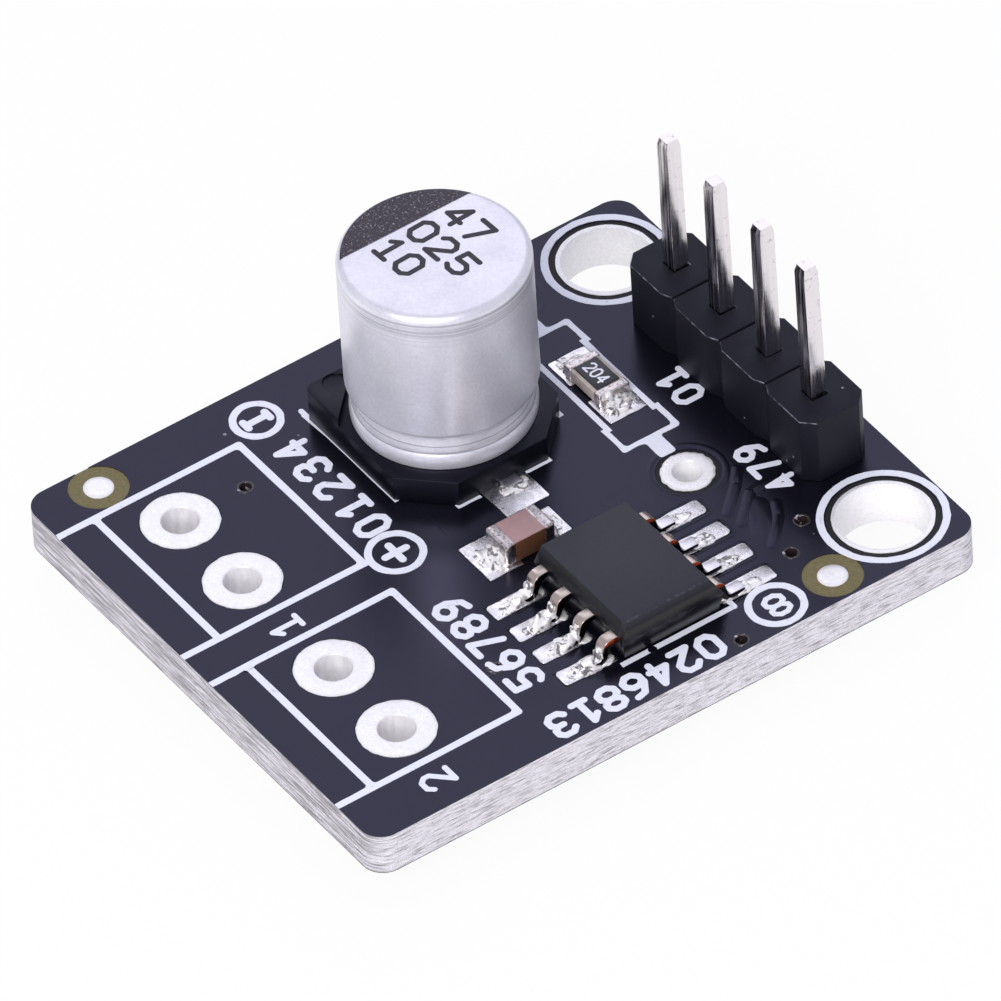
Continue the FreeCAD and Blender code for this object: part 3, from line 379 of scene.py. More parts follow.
barrel = node(tree, "MapRange", {"Value": streaks, "From Min": 0.35, "From Max": 0.65, "To Min": 0.9,
                                 "To Max": 0.4})
terminal_side = node(tree, "Math", {0: spot.outputs["Y"], 1: -15 * MM}, operation="LESS_THAN")
wall = node(tree, "MapRange", {"Value": upward, "From Min": 0.3, "From Max": 0.1})
barrel = node(tree, "Math", {0: barrel, 1: terminal_side}, operation="MULTIPLY")
barrel = node(tree, "Math", {0: barrel, 1: wall}, operation="MULTIPLY")
body = node(tree, "Mix", {0: barrel, 6: body, 7: "#d2cfd4"}, data_type="RGBA")
metal = node(tree, "MapRange", {"Value": upward, "From Min": 0.2, "From Max": 0.6, "To Max": 0.3})
skin = node(tree, "BsdfPrincipled", {"Base Color": body, "Metallic": metal, "Roughness": gloss,
                                     "Normal": bump})
node(tree, "OutputMaterial", {"Surface": skin})


def add_turned(shape, profile, place, steps=64, closed=False):
    """Spins a profile of (radius, height) points about the Z axis of place; gives the new points."""
    known = set(shape.verts)
    points = [shape.verts.new((radius, 0, level)) for radius, level in profile]
    pairs = list(zip(points, points[1:])) + ([(points[-1], points[0])] if closed else [])
    outline = [shape.edges.new(pair) for pair in pairs]
    bmesh.ops.spin(shape, geom=points + outline, cent=(0, 0, 0), axis=(0, 0, 1), dvec=(0, 0, 0),
                   angle=2 * math.pi, steps=steps, use_merge=True, use_duplicate=False)
    made = [vert for vert in shape.verts if vert not in known]
    bmesh.ops.transform(shape, matrix=place, verts=made)
    bmesh.ops.remove_doubles(shape, verts=made, dist=1e-8)
    return [vert for vert in shape.verts if vert not in known]


def add_plated_hole(shape, x, y, bore, land, dome, wave):
    """A barrel with a domed ring at each end; wave is how far its edge strays."""
    wall, under, top = 0.07, 1.575, BOARD_TOP + dome
    half = [(bore, 0.8), (bore, under), (bore + 0.01, 1.61), (bore + 0.03, top - 0.005), (bore + 0.06, top),
            (land - 0.09, top), (land - 0.04, top - 0.01), (land, BOARD_TOP + 0.005), (land, under),
            (bore + wall, under)]
    lower = [(radius, BOARD_TOP - level) for radius, level in reversed(half)]
    for vert in add_turned(shape, half + lower[:-1], on_board(0, 0, 0), closed=True):
        reach = vert.co.xy.length / MM
        if reach > bore + wall + 0.01:
            way = Vector((vert.co.x, vert.co.y, 0)).normalized()
            stray = noise.noise(Vector((x + 4.5 * way.x, y + 4.5 * way.y, 3.0))) * wave
            vert.co += way * stray * MM * (reach - bore) / (land - bore)
            ripple_spot = Vector((x + vert.co.x * per(0.25), y + vert.co.y * per(0.25), 0))
            vert.co.z += noise.noise(ripple_spot) * 0.006 * MM
        vert.co += Vector((x, y, 0)) * MM


MOUNTING = [(-7.62, 0), (7.62, 0)]
TERMINALS = [(-6.04, -17.78), (-2.54, -17.78), (2.54, -17.78), (6.04, -17.78)]
AXIAL = [(-8.08, -3.7), (2.08, -3.7)]
swell = [(1.08, 1.59), (1.13, 1.604), (1.2, 1.612), (1.27, 1.612), (1.34, 1.604), (1.4, 1.59)]
shape = bmesh.new()
for x, y in AXIAL:
    add_turned(shape, swell, on_board(x, y, 0), closed=True)
add_piece("ring_swells", shape, black_mask, "black_solder_mask")
# Each kind of hole: its places, bore and ring as radii, height of the dome, stray of the edge.
kinds = [("mounting", MOUNTING, 1.5, 1.67, 0.02, 0.02), ("terminal", TERMINALS, 0.615, 1.3, 0.03, 0.03),
         ("axial", AXIAL, 0.475, 0.9, 0.035, 0.07)]
for kind, places, bore, land, dome, wave in kinds:
    shape = bmesh.new()
    for x, y in places:
        add_plated_hole(shape, x, y, bore, land, dome, wave)
    stands_for = [f"{kind}_hole_plating_{i}" for i in range(1, len(places) + 1)]
    add_piece(f"{kind}_rings", shape, hot_tin, "tinned_copper", *stands_for)
dress(hot_tin, *[f"header_hole_plating_{i}" for i in range(1, 5)])

# ---------------------------------------------------------------------------------------------
# Alignment dots and vias. A dot is a low button of tin on bare laminate; a via is a copper
# barrel half closed by the lacquer, which stands around it in a glossy reddish rim.
button = [(0, 1.64), (0.3, 1.635), (0.44, 1.62), (0.5, 1.59), (0.5, 1.57), (0, 1.57)]
shape = bmesh.new()
for x, y in DOTS:
    add_turned(shape, button, on_board(x, y, 0), steps=40)
add_piece("alignment_dots", shape, hot_tin, "tinned_copper", "fiducial_dot_1", "fiducial_dot_2")

# Gives a wet black rim with copper red showing through, and a few white spots: painted glints, some
# standing for flecks of solder.
via_rim, tree, place = new_material("lacquered_via_rim")
patch = node(tree, "TexNoise", {"Vector": place, "Scale": per(0.2), "Detail": 2.0})
body = node(tree, "Mix", {0: patch, 6: "#0a0a0e", 7: "#41373a"}, data_type="RGBA")
# Painted highlight: white spots where the noise peaks stand for glints, and partly for flecks of solder.
painted_glint = node(tree, "MapRange", {"Value": patch, "From Min": 0.62, "From Max": 0.66, "To Max": 0.7})
body = node(tree, "Mix", {0: painted_glint, 6: body, 7: "#c8c8d0"}, data_type="RGBA")
skin = node(tree, "BsdfPrincipled", {"Base Color": body, "Roughness": 0.16})
node(tree, "OutputMaterial", {"Surface": skin})
dress(via_rim, "via_platings")
VIAS = [(-6.04, -15.25), (5.69, -13.73), (9.45, -6.85), (6.15, -2.14), (7.17, -3.27)]
turns = [i * math.pi / 4 for i in range(8)]
lip = [(0.2 + 0.05 * (1 - math.cos(a)), 1.59 + 0.03 * math.sin(a)) for a in turns]
shape = bmesh.new()
for x, y in VIAS:
    add_turned(shape, lip, on_board(x, y, 0), steps=32, closed=True)
add_piece("via_rims", shape, via_rim, "masked_via")

# ---------------------------------------------------------------------------------------------
# Soldered lands: flat copper rectangles under the parts' feet, tinned with the holes.
# Pasted solder has wetted them unevenly, so they are mottled silver with dark pits.

# Gives bright uneven silver with dark pits, where the paste has drawn back.
pasted_tin, tree, place = new_material("reflowed_land_tin")
ripple = node(tree, "TexNoise", {"Vector": place, "Scale": per(0.3846), "Detail": 6.0, "Roughness": 0.7})
pits = node(tree, "MapRange", {"Value": ripple, "From Min": 0.32, "From Max": 0.38})
body = node(tree, "Mix", {0: pits, 6: "#5a565f", 7: "#f3f1f4"}, data_type="RGBA")
gloss = node(tree, "MapRange", {"Value": ripple, "From Min": 0.4, "From Max": 0.65, "To Min": 0.18,
                                "To Max": 0.4})
bump = node(tree, "Bump", {"Strength": 0.5, "Distance": 0.04 * MM, "Height": ripple})
skin = node(tree, "BsdfPrincipled", {"Base Color": body, "Metallic": 1.0, "Roughness": gloss,
                                     "Normal": bump})
node(tree, "OutputMaterial", {"Surface": skin})


def eased_copy(names, width, segments=2, corner=0, stray=0, move=None):
    """Merged copies of CAD nodes, in one shape, with their sharp edges eased by width in millimetres.
    move shifts the corner points before that, corner rounds the upright edges of a flat shape first,
    and stray makes its outline wander."""
    shape = bmesh.new()
    for name in names:
        shape.from_mesh(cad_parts[name].data)
    bmesh.ops.remove_doubles(shape, verts=shape.verts, dist=1e-7)
    for vert in shape.verts if move else ():
        vert.co = move(*(vert.co / MM)) * MM
    bmesh.ops.dissolve_limit(shape, angle_limit=math.radians(1), verts=shape.verts, edges=shape.edges)
    for offset, steps, rise in ((corner, 4, 0.9), (width, segments, 0.0)):
        sharp = [edge for edge in shape.edges
                 if edge.is_manifold and edge.calc_face_angle() > SHARP
                 and abs(edge.verts[0].co.z - edge.verts[1].co.z) >= rise * edge.calc_length()]
        if offset == corner:
            sharp = [edge for edge in sharp if all(near == edge or near.calc_length() > 2.1 * corner * MM
                                                   for vert in edge.verts for near in vert.link_edges)]
        if offset:
            bmesh.ops.bevel(shape, geom=sharp, offset=offset * MM, offset_type="OFFSET", affect="EDGES",
                            segments=steps, profile=0.5, material=-1, clamp_overlap=offset == width)
    if stray:
        long = [edge for edge in shape.edges if edge.calc_length() > 0.3 * MM]
        bmesh.ops.subdivide_edges(shape, edges=long, cuts=3, use_grid_fill=True)
        for vert in shape.verts:
            spot = Vector((vert.co.x, vert.co.y, 0)) * per(0.3125)
            vert.co += Vector((noise.noise(spot), noise.noise(spot + Vector((9, 9, 9))), 0)) * stray * MM
    return shape


corners = {"chip_lands": 0.14, "ceramic_lands": 0.05, "resistor_lands": 0.08, "capacitor_lands": 0.05}
for name, corner in corners.items():
    shape = eased_copy([name], 0.012, corner=corner, stray=0.04)
    add_piece(f"tinned_{name}", shape, pasted_tin, "tinned_copper", name)
# The line before the capacitor is printed a hair nearer to it.
shape = eased_copy(["printed_outlines"], 0, corner=0.13, stray=0.025)
for vert in shape.verts:
    if -11.97 < vert.co.y / MM < -11.7 and -7.4 < vert.co.x / MM < -1:
        vert.co.y += 0.07 * MM
add_piece("ink_outlines", shape, white_ink, "white_ink", "printed_outlines")

# ---------------------------------------------------------------------------------------------
# Pin header: black glass-filled nylon moulded around square brass pins that are tinned and
# drawn, so they carry fine lines along their length. Solder holds them from below.

# Gives a dull bluish black with grain and sparse dust, and a grey line painted along the front top edge as
# a highlight, broken up by the grain.
# Real grain is too fine to show, so 0.19 mm is drawn.
black_nylon, tree, place = new_material("moulded_black_nylon")
grain = node(tree, "TexNoise", {"Vector": place, "Scale": per(0.1923), "Detail": 4.0})
body = node(tree, "Mix", {0: grain, 6: "#08080e", 7: "#0f0f18"}, data_type="RGBA")
body = dusted(tree, place, body, 0.3846, 0.07, 0.13, 0.7, "#a5a5b0")
level = node(tree, "SeparateXYZ", {0: place})
facing = node(tree, "SeparateXYZ", {0: node(tree, "NewGeometry").outputs["True Normal"]})
# Painted highlight: a grey line along the front top edge, on faces turned to the front, broken up by the
# grain.
rim = node(tree, "MapRange", {"Value": level.outputs["Z"], "From Min": 4.09 * MM, "From Max": 4.11 * MM})
turned = node(tree, "MapRange", {"Value": facing.outputs["Y"], "From Min": -0.15, "From Max": -0.4})
wear_and_highlight_breaks = node(tree, "MapRange", {"Value": grain, "From Min": 0.42, "From Max": 0.6, "To Min": 0.1,
                               "To Max": 0.8})
rim = node(tree, "Math", {0: rim, 1: turned}, operation="MULTIPLY")
rim = node(tree, "Math", {0: rim, 1: wear_and_highlight_breaks}, operation="MULTIPLY")
body = node(tree, "Mix", {0: rim, 6: body, 7: "#8b8b96"}, data_type="RGBA")
bump = node(tree, "Bump", {"Strength": 0.4, "Distance": 0.01 * MM, "Height": grain})
skin = node(tree, "BsdfPrincipled", {"Base Color": body, "Roughness": 0.58, "Normal": bump,
                                     "Specular IOR Level": 0.4, "Specular Tint": "#dedeff"})
node(tree, "OutputMaterial", {"Surface": skin})


HOUSING_FRONT, NOTCH_SHARE, NOTCHED_TO = -1.05, 0.5, 4.2


def flat_front(x, y, z):
    """Halves the depth of the notches between the pins on the side of the board."""
    notched = y < -0.5 and abs(x) < NOTCHED_TO
    return Vector((x, HOUSING_FRONT + NOTCH_SHARE * (y - HOUSING_FRONT) if notched else y, z))


shape = eased_copy(["header_housing"], 0.045, 3, move=flat_front)
add_piece("header_moulding", shape, black_nylon, "header_plastic", "header_housing")

# Gives mirror silver with lines along the pin, dull spots, and painted shade on the front faces, streaked
# along the drawn lines.
# Drawing marks are 0.02 mm wide, too fine to show, so 0.11 mm is drawn.
drawn_tin, tree, place = new_material("drawn_tinned_brass")
length = node(tree, "Mapping", {"Vector": place, "Scale": (per(0.1111), per(0.1111), per(4.545))})
lines = node(tree, "TexNoise", {"Vector": length, "Scale": 1.0, "Detail": 4.0})
spots = node(tree, "TexNoise", {"Vector": place, "Scale": per(0.2381), "Detail": 5.0, "Roughness": 0.7})
dull = node(tree, "MapRange", {"Value": spots, "From Min": 0.58, "From Max": 0.70, "To Max": 0.6})
body = node(tree, "Mix", {0: dull, 6: "#e9e4e6", 7: "#8f888c"}, data_type="RGBA")
facing = node(tree, "SeparateXYZ", {0: node(tree, "NewGeometry").outputs["Normal"]})
# Painted shade: the faces turned to the front are darkened in streaks along the drawn lines.
painted_front_shade = node(tree, "MapRange", {"Value": facing.outputs["Y"], "From Min": -0.6, "From Max": -0.9})
drawn = node(tree, "MapRange", {"Value": lines, "From Min": 0.42, "From Max": 0.58, "To Min": 0.95,
                                "To Max": 0.1})
painted_front_shade = node(tree, "Math", {0: painted_front_shade, 1: drawn}, operation="MULTIPLY")
body = node(tree, "Mix", {0: painted_front_shade, 6: body, 7: "#4b4644"}, data_type="RGBA")
gloss = node(tree, "MapRange", {"Value": lines, "From Min": 0.3, "From Max": 0.7, "To Min": 0.12,
                                "To Max": 0.32})
height = node(tree, "Math", {0: lines, 1: spots}, operation="ADD")
bump = node(tree, "Bump", {"Strength": 0.3, "Distance": 0.008 * MM, "Height": height})
skin = node(tree, "BsdfPrincipled", {"Base Color": body, "Metallic": 1.0, "Roughness": gloss,
                                     "Normal": bump})
node(tree, "OutputMaterial", {"Surface": skin})
# Above the moulding each pin is a little slimmer than its hole, its tip is cut small, and it leans.
PINS = [(-3.81, 0.18), (-1.27, 0.18), (1.27, 0.18), (3.81, 0.18)]
LEANS = [0.05, 0.04, -0.01, 0.13]
PIN_ROOT, PIN_REACH, PIN_SHARE, TIP_LEVEL, TIP_HALF = 2, 7.5, 0.88, 9.45, 0.22
for i, ((x, y), lean) in enumerate(zip(PINS, LEANS), 1):
    shape = eased_copy([f"header_pin_{i}"], 0.04, 3)
    for vert in shape.verts:
        if vert.co.z > PIN_ROOT * MM:
            across = vert.co - Vector((x * MM, y * MM, vert.co.z))
            widest = max(abs(across.x), abs(across.y)) / MM
            grow = TIP_HALF / widest if vert.co.z > TIP_LEVEL * MM else PIN_SHARE
            vert.co += across * (grow - 1)
            vert.co.x -= lean * MM * (vert.co.z / MM - PIN_ROOT) / PIN_REACH
    add_piece(f"drawn_pin_{i}", shape, drawn_tin, "header_pin_tin", f"header_pin_{i}")

# Gives wet bright metal with painted shade in the creases between its swells, which are about 0.4 mm
# across.
bright_solder, tree, place = new_material("bright_solder")
ripple = node(tree, "TexNoise", {"Vector": place, "Scale": per(0.4167), "Detail": 3.0})
creases = node(tree, "TexNoise", {"Vector": place, "Scale": per(0.3333), "Detail": 3.0, "Distortion": 1.2})
# Painted shade: the creases of the noise are darkened as if shaded.
painted_crease_shade = node(tree, "MapRange", {"Value": creases, "From Min": 0.40, "From Max": 0.46, "To Min": 0.8,
                               "To Max": 0.0})
body = node(tree, "Mix", {0: painted_crease_shade, 6: "#fdfbfb", 7: "#3a383d"}, data_type="RGBA")
bump = node(tree, "Bump", {"Strength": 0.6, "Distance": 0.03 * MM, "Height": ripple})
skin = node(tree, "BsdfPrincipled", {"Base Color": body, "Metallic": 0.45, "Roughness": 0.26,
                                     "Normal": bump})
node(tree, "OutputMaterial", {"Surface": skin})
cone = [(0.25, -0.98), (0.42, -0.95), (0.46, -0.75), (0.53, -0.5), (0.64, -0.25), (0.80, -0.07),
        (0.87, -0.02), (0.87, 0.0), (0.5, 0.02), (0.5, 1.6), (0.25, 1.6)]
shape = bmesh.new()
for x, y in PINS:
    add_turned(shape, cone, on_board(x, y, 0), steps=40, closed=True)
add_piece("header_joints", shape, bright_solder, "solder", *[f"header_solder_{i}" for i in range(1, 5)])

# ---------------------------------------------------------------------------------------------
# Electrolytic capacitor: a drawn aluminium can, necked and rolled over a rubber seal, on a
# moulded base with two flat leads. A dark printed segment and numbers mark its satin top.
CAN = Vector((-4.33, -8.63))
CAN_FOOT, CAN_TOP = 2.58, 9.28
# Gives pale frosted metal that spreads every highlight, with turned lines under the shoulder and
# painted shade in three grooves at the neck. The blasted grain, 0.02 mm, is too fine to show and drawn at
# 0.11 mm.
satin_aluminium, tree, place = new_material("satin_aluminium")
grain = node(tree, "TexNoise", {"Vector": place, "Scale": per(0.1111), "Detail": 3.0, "Roughness": 0.7})
cloud = node(tree, "TexNoise", {"Vector": place, "Scale": per(1.429), "Detail": 3.0})
tint = node(tree, "Math", {0: grain, 1: cloud}, operation="ADD")
tint = node(tree, "MapRange", {"Value": tint, "From Min": 0.7, "From Max": 1.3})
body = node(tree, "Mix", {0: tint, 6: "#ecebf4", 7: "#d8d7e2"}, data_type="RGBA")
level = node(tree, "SeparateXYZ", {0: place})
around = node(tree, "Mapping", {"Vector": place, "Scale": (per(6.667), per(6.667), per(0.0625))})
lines = node(tree, "TexNoise", {"Vector": around, "Scale": 1.0, "Detail": 2.0})
lines = node(tree, "MapRange", {"Value": lines, "From Min": 0.46, "From Max": 0.62, "To Max": 0.5})
below = node(tree, "MapRange", {"Value": level.outputs["Z"], "From Min": 8 * MM, "From Max": 8.7 * MM})
top = node(tree, "MapRange", {"Value": level.outputs["Z"], "From Min": 8.95 * MM, "From Max": 9.1 * MM,
                              "To Min": 1.0, "To Max": 0.0})
lines = node(tree, "Math", {0: lines, 1: below}, operation="MULTIPLY")
lines = node(tree, "Math", {0: lines, 1: top}, operation="MULTIPLY")
body = node(tree, "Mix", {0: lines, 6: body, 7: "#8b8a97"}, data_type="RGBA")
# Painted shade: dark lines at the three grooves of the neck, under the wall's edge and the bead.
for groove, half in ((3.24, 0.022), (3.52, 0.016), (4.03, 0.035)):
    line = node(tree, "Math", {0: level.outputs["Z"], 1: groove * MM, 2: half * MM}, operation="COMPARE")
    line = node(tree, "Math", {0: line, 1: 0.6}, operation="MULTIPLY")
    body = node(tree, "Mix", {0: line, 6: body, 7: "#5b5a66"}, data_type="RGBA")
bump = node(tree, "Bump", {"Strength": 0.5, "Distance": 0.014 * MM, "Height": grain})
skin = node(tree, "BsdfPrincipled", {"Base Color": body, "Metallic": 0.5, "Roughness": 0.36,
                                     "Normal": bump})
node(tree, "OutputMaterial", {"Surface": skin})
RADIUS, HEIGHT, EASE = 3.15, 6.7, 0.3
angles = [math.radians(turn) for turn in range(90, -1, -10)]
shoulder = [(RADIUS - EASE + EASE * math.sin(a), HEIGHT - EASE + EASE * math.cos(a)) for a in angles]
skirt = [(0, 0), (2.92, 0), (3.0, 0.04), (3.04, 0.14), (3.05, 0.35), (3.03, 0.52), (2.98, 0.62),
         (2.955, 0.66), (2.965, 0.70), (2.96, 0.80), (2.92, 0.95), (2.87, 1.12), (2.85, 1.25),
         (2.87, 1.36), (2.95, 1.44), (3.07, 1.49), (3.13, 1.55), (RADIUS, 1.64)]
shape = bmesh.new()
add_turned(shape, skirt + shoulder + [(0, HEIGHT)], on_board(CAN.x, CAN.y, CAN_FOOT), steps=128)
add_piece("drawn_can", shape, satin_aluminium, "satin_aluminium", "capacitor_can")

# Gives dark violet grey, sprinkled with bare metal, and rough to the light.
can_ink, tree, place = new_material("speckled_marking_ink")
spots = node(tree, "TexNoise", {"Vector": place, "Scale": per(0.07692), "Detail": 3.0, "Roughness": 0.7})
bare = node(tree, "MapRange", {"Value": spots, "From Min": 0.57, "From Max": 0.70, "To Max": 0.8})
body = node(tree, "Mix", {0: bare, 6: "#2f2a36", 7: "#b5b1bd"}, data_type="RGBA")
bump = node(tree, "Bump", {"Strength": 0.6, "Distance": 0.02 * MM, "Height": spots})
skin = node(tree, "BsdfPrincipled", {"Base Color": body, "Roughness": 0.5, "Normal": bump})
node(tree, "OutputMaterial", {"Surface": skin})
INK, CHORD = 0.015, -1.57
rounded = [(radius, level + INK) for radius, level in reversed(shoulder[6:])]
cap = [(0, HEIGHT + INK)] + rounded + [(2.9, 6.5), (0, 6.5)]
shape = bmesh.new()
add_turned(shape, cap, on_board(0, 0, CAN_FOOT), steps=128)
bmesh.ops.bisect_plane(shape, geom=shape.verts[:] + shape.edges[:] + shape.faces[:], dist=1e-8,
                       plane_co=(CHORD * MM, 0, 0), plane_no=(1, 0, 0), clear_outer=True)
bmesh.ops.translate(shape, vec=(CAN.x * MM, CAN.y * MM, 0), verts=shape.verts)
add_piece("can_segment", shape, can_ink, "satin_aluminium")

# Gives soft black strokes, a little uneven in depth.
digit_ink, tree, place = new_material("black_marking_ink")
cover = node(tree, "TexNoise", {"Vector": place, "Scale": per(0.1429), "Detail": 3.0})
body = node(tree, "Mix", {0: cover, 6: "#1d1a20", 7: "#39353d"}, data_type="RGBA")
skin = node(tree, "BsdfPrincipled", {"Base Color": body, "Roughness": 0.55})
node(tree, "OutputMaterial", {"Surface": skin})
shape = bmesh.new()
rows = [("47", -5.57, -7.5, 1.02), ("025", -5.63, -8.82, 1.0), ("10", -5.61, -10.11, 0.96)]
for text, x, y, pitch in rows:
    add_number(shape, text, on_board(x, y, CAN_TOP, turn=3), 0.66, 0.92, pitch, 0.19, 0.012)
add_piece("can_numbers", shape, digit_ink, "satin_aluminium")

# Gives the deepest black here, with a faint gloss that breaks up over the grain.
moulded_base, tree, place = new_material("moulded_black_resin")
grain = node(tree, "TexNoise", {"Vector": place, "Scale": per(0.3333), "Detail": 4.0})
body = node(tree, "Mix", {0: grain, 6: "#05050b", 7: "#0a0a12"}, data_type="RGBA")
gloss = node(tree, "MapRange", {"Value": grain, "From Min": 0.3, "From Max": 0.7, "To Min": 0.28,
                                "To Max": 0.4})
bump = node(tree, "Bump", {"Strength": 0.35, "Distance": 0.01 * MM, "Height": grain})
skin = node(tree, "BsdfPrincipled", {"Base Color": body, "Roughness": gloss, "Specular IOR Level": 0.3,
                                     "Specular Tint": "#dcdcff", "Normal": bump})
node(tree, "OutputMaterial", {"Surface": skin})
shape = eased_copy(["capacitor_base"], 0.03)
add_piece("moulded_base", shape, moulded_base, "capacitor_base_plastic", "capacitor_base")


def add_lump(shape, centre, size, bumps=0.35, seed=0.0):
    """A set drop of solder: a ball stretched to size and swelled unevenly."""
    ball = bmesh.ops.create_uvsphere(shape, u_segments=28, v_segments=16, radius=1)
    for vert in ball["verts"]:
        swell = 1 + bumps * noise.noise(vert.co * 1.6 + Vector((seed, 2 * seed, 0)))
        vert.co = Vector([(c + s * v * swell) * MM for c, s, v in zip(centre, size, vert.co)])


def add_block(shape, low, high, ease):
    """A block between two corners in millimetres, with its edges rounded."""
    size = [b - a for a, b in zip(low, high)]
    middle = [(a + b) / 2 for a, b in zip(low, high)]
    place = Matrix.Translation(Vector(middle) * MM) @ Matrix.Diagonal(size + [1])
    block = bmesh.ops.create_cube(shape, size=MM, matrix=place)
    edges = list({edge for vert in block["verts"] for edge in vert.link_edges})
    bmesh.ops.bevel(shape, geom=edges, offset=ease * MM, offset_type="OFFSET", affect="EDGES",
                    segments=4, profile=0.5, material=-1)


# Gives soft grey silver without clear reflections.
matt_tin, tree, place = new_material("matt_tinned_lead")
grain = node(tree, "TexNoise", {"Vector": place, "Scale": per(0.1538), "Detail": 3.0})
body = node(tree, "Mix", {0: grain, 6: "#dcd8de", 7: "#aaa6b0"}, data_type="RGBA")
bump = node(tree, "Bump", {"Strength": 0.4, "Distance": 0.01 * MM, "Height": grain})
skin = node(tree, "BsdfPrincipled", {"Base Color": body, "Metallic": 1.0, "Roughness": 0.3, "Normal": bump})
node(tree, "OutputMaterial", {"Surface": skin})
feet = ["capacitor_terminal_1", "capacitor_terminal_2"]
add_piece("capacitor_leads", eased_copy(feet, 0.03), matt_tin, "lead_tin", *feet)
shape = bmesh.new()
for side in (-1, 1):
    end = CAN.x + side * 3.62
    add_lump(shape, (end + side * 0.06, -8.44, 1.62), (0.24, 0.52, 0.12), seed=side + 0.3)
    add_lump(shape, (end - side * 0.1, -8.86, 1.62), (0.22, 0.13, 0.1), seed=side + 1.3)
    add_lump(shape, (end - side * 0.1, -8.04, 1.62), (0.22, 0.13, 0.1), seed=side + 2.3)
add_piece("capacitor_joints", shape, bright_solder, "solder", "capacitor_solder")

# ---------------------------------------------------------------------------------------------
# Driver chip: epoxy compound moulded round a tinned copper lead frame, with a sloped end.
# Eight gull-wing leads sit in solder, and their cut sides show a glint of bare copper.
CHIP = Vector((5.62, -8.47))
# Gives a flat charcoal top, darker and glossier sides, and a broken light line along two edges.
# The filler's grains are 0.03 mm, too fine to show, so 0.13 mm is drawn.
mould_compound, tree, place = new_material("epoxy_mould_compound")
grain = node(tree, "TexNoise", {"Vector": place, "Scale": per(0.1333), "Detail": 4.0, "Roughness": 0.7})
body = node(tree, "Mix", {0: grain, 6: "#1f1f29", 7: "#2a2a36"}, data_type="RGBA")
facing = node(tree, "SeparateXYZ", {0: node(tree, "NewGeometry").outputs["Normal"]})
side_on = node(tree, "MapRange", {"Value": facing.outputs["Z"], "From Min": 0.95, "From Max": 0.8})
body = node(tree, "Mix", {0: side_on, 6: body, 7: "#0a0a10"}, data_type="RGBA")
level = node(tree, "SeparateXYZ", {0: place})
dotted = node(tree, "MapRange", {"Value": grain, "From Min": 0.46, "From Max": 0.6, "To Max": 0.4})
for axis, line, half in (("X", 7.77, 0.03), ("Z", 2.425, 0.018)):
    rim = node(tree, "Math", {0: level.outputs[axis], 1: line * MM, 2: half * MM}, operation="COMPARE")
    rim = node(tree, "Math", {0: rim, 1: dotted}, operation="MULTIPLY")
    body = node(tree, "Mix", {0: rim, 6: body, 7: "#55545f"}, data_type="RGBA")
gloss = node(tree, "MapRange", {"Value": side_on, "To Min": 0.5, "To Max": 0.3})
bump = node(tree, "Bump", {"Strength": 0.35, "Distance": 0.01 * MM, "Height": grain})
skin = node(tree, "BsdfPrincipled", {"Base Color": body, "Roughness": gloss, "Normal": bump})
node(tree, "OutputMaterial", {"Surface": skin})
# Above the parting line the moulding draws in by a tenth, more at the rear, and is a little lower.
PARTING, UPPER, DRAFT, NARROWED_TO, SUNK = 2.45, 0.7, 0.1, CHIP.y - 0.7, 0.8
shape = eased_copy(["chip_body"], 0.03)
for vert in shape.verts:
    draft = DRAFT * max(vert.co.z / MM - PARTING, 0) / UPPER
    vert.co.y += (NARROWED_TO * MM - vert.co.y) * draft
    vert.co.z -= SUNK * draft * MM
add_piece("moulded_chip", shape, mould_compound, "chip_mould_compound", "chip_body")

# Gives warm silver bends, white feet, and sides facing +X painted near black as shade and dark reflection,
# with a glint of bare copper.
cut_lead, tree, place = new_material("tinned_copper_lead")
grain = node(tree, "TexNoise", {"Vector": place, "Scale": per(0.1923), "Detail": 3.0})
body = node(tree, "Mix", {0: grain, 6: "#ddd0c6", 7: "#c2b4aa"}, data_type="RGBA")
facing = node(tree, "SeparateXYZ", {0: node(tree, "NewGeometry").outputs["Normal"]})
level = node(tree, "SeparateXYZ", {0: place})
foot = node(tree, "MapRange", {"Value": level.outputs["Z"], "From Min": 2.1 * MM, "From Max": 1.9 * MM})
body = node(tree, "Mix", {0: foot, 6: body, 7: "#f0eef4"}, data_type="RGBA")
# Painted shade and dark reflection: the sides that face +X are painted near black.
side_on = node(tree, "MapRange", {"Value": facing.outputs["X"], "From Min": 0.6, "From Max": 0.8})
low = node(tree, "MapRange", {"Value": level.outputs["Z"], "From Min": 2.3 * MM, "From Max": 2.4 * MM})
rear_row = node(tree, "Math", {0: level.outputs["Y"], 1: -8.5 * MM}, operation="GREATER_THAN")
end_lead = node(tree, "Math", {0: level.outputs["X"], 1: 7.2 * MM}, operation="GREATER_THAN")
bare = node(tree, "Math", {0: rear_row, 1: end_lead}, operation="MAXIMUM")
bare = node(tree, "Math", {0: bare, 1: low}, operation="MULTIPLY")
bare = node(tree, "Math", {0: bare, 1: side_on}, operation="MULTIPLY")
body = node(tree, "Mix", {0: side_on, 6: body, 7: "#242021"}, data_type="RGBA")
body = node(tree, "Mix", {0: bare, 6: body, 7: "#b8481f"}, data_type="RGBA")
bump = node(tree, "Bump", {"Strength": 0.4, "Distance": 0.01 * MM, "Height": grain})
skin = node(tree, "BsdfPrincipled", {"Base Color": body, "Metallic": 1.0, "Roughness": 0.28,
                                     "Normal": bump})
node(tree, "OutputMaterial", {"Surface": skin})
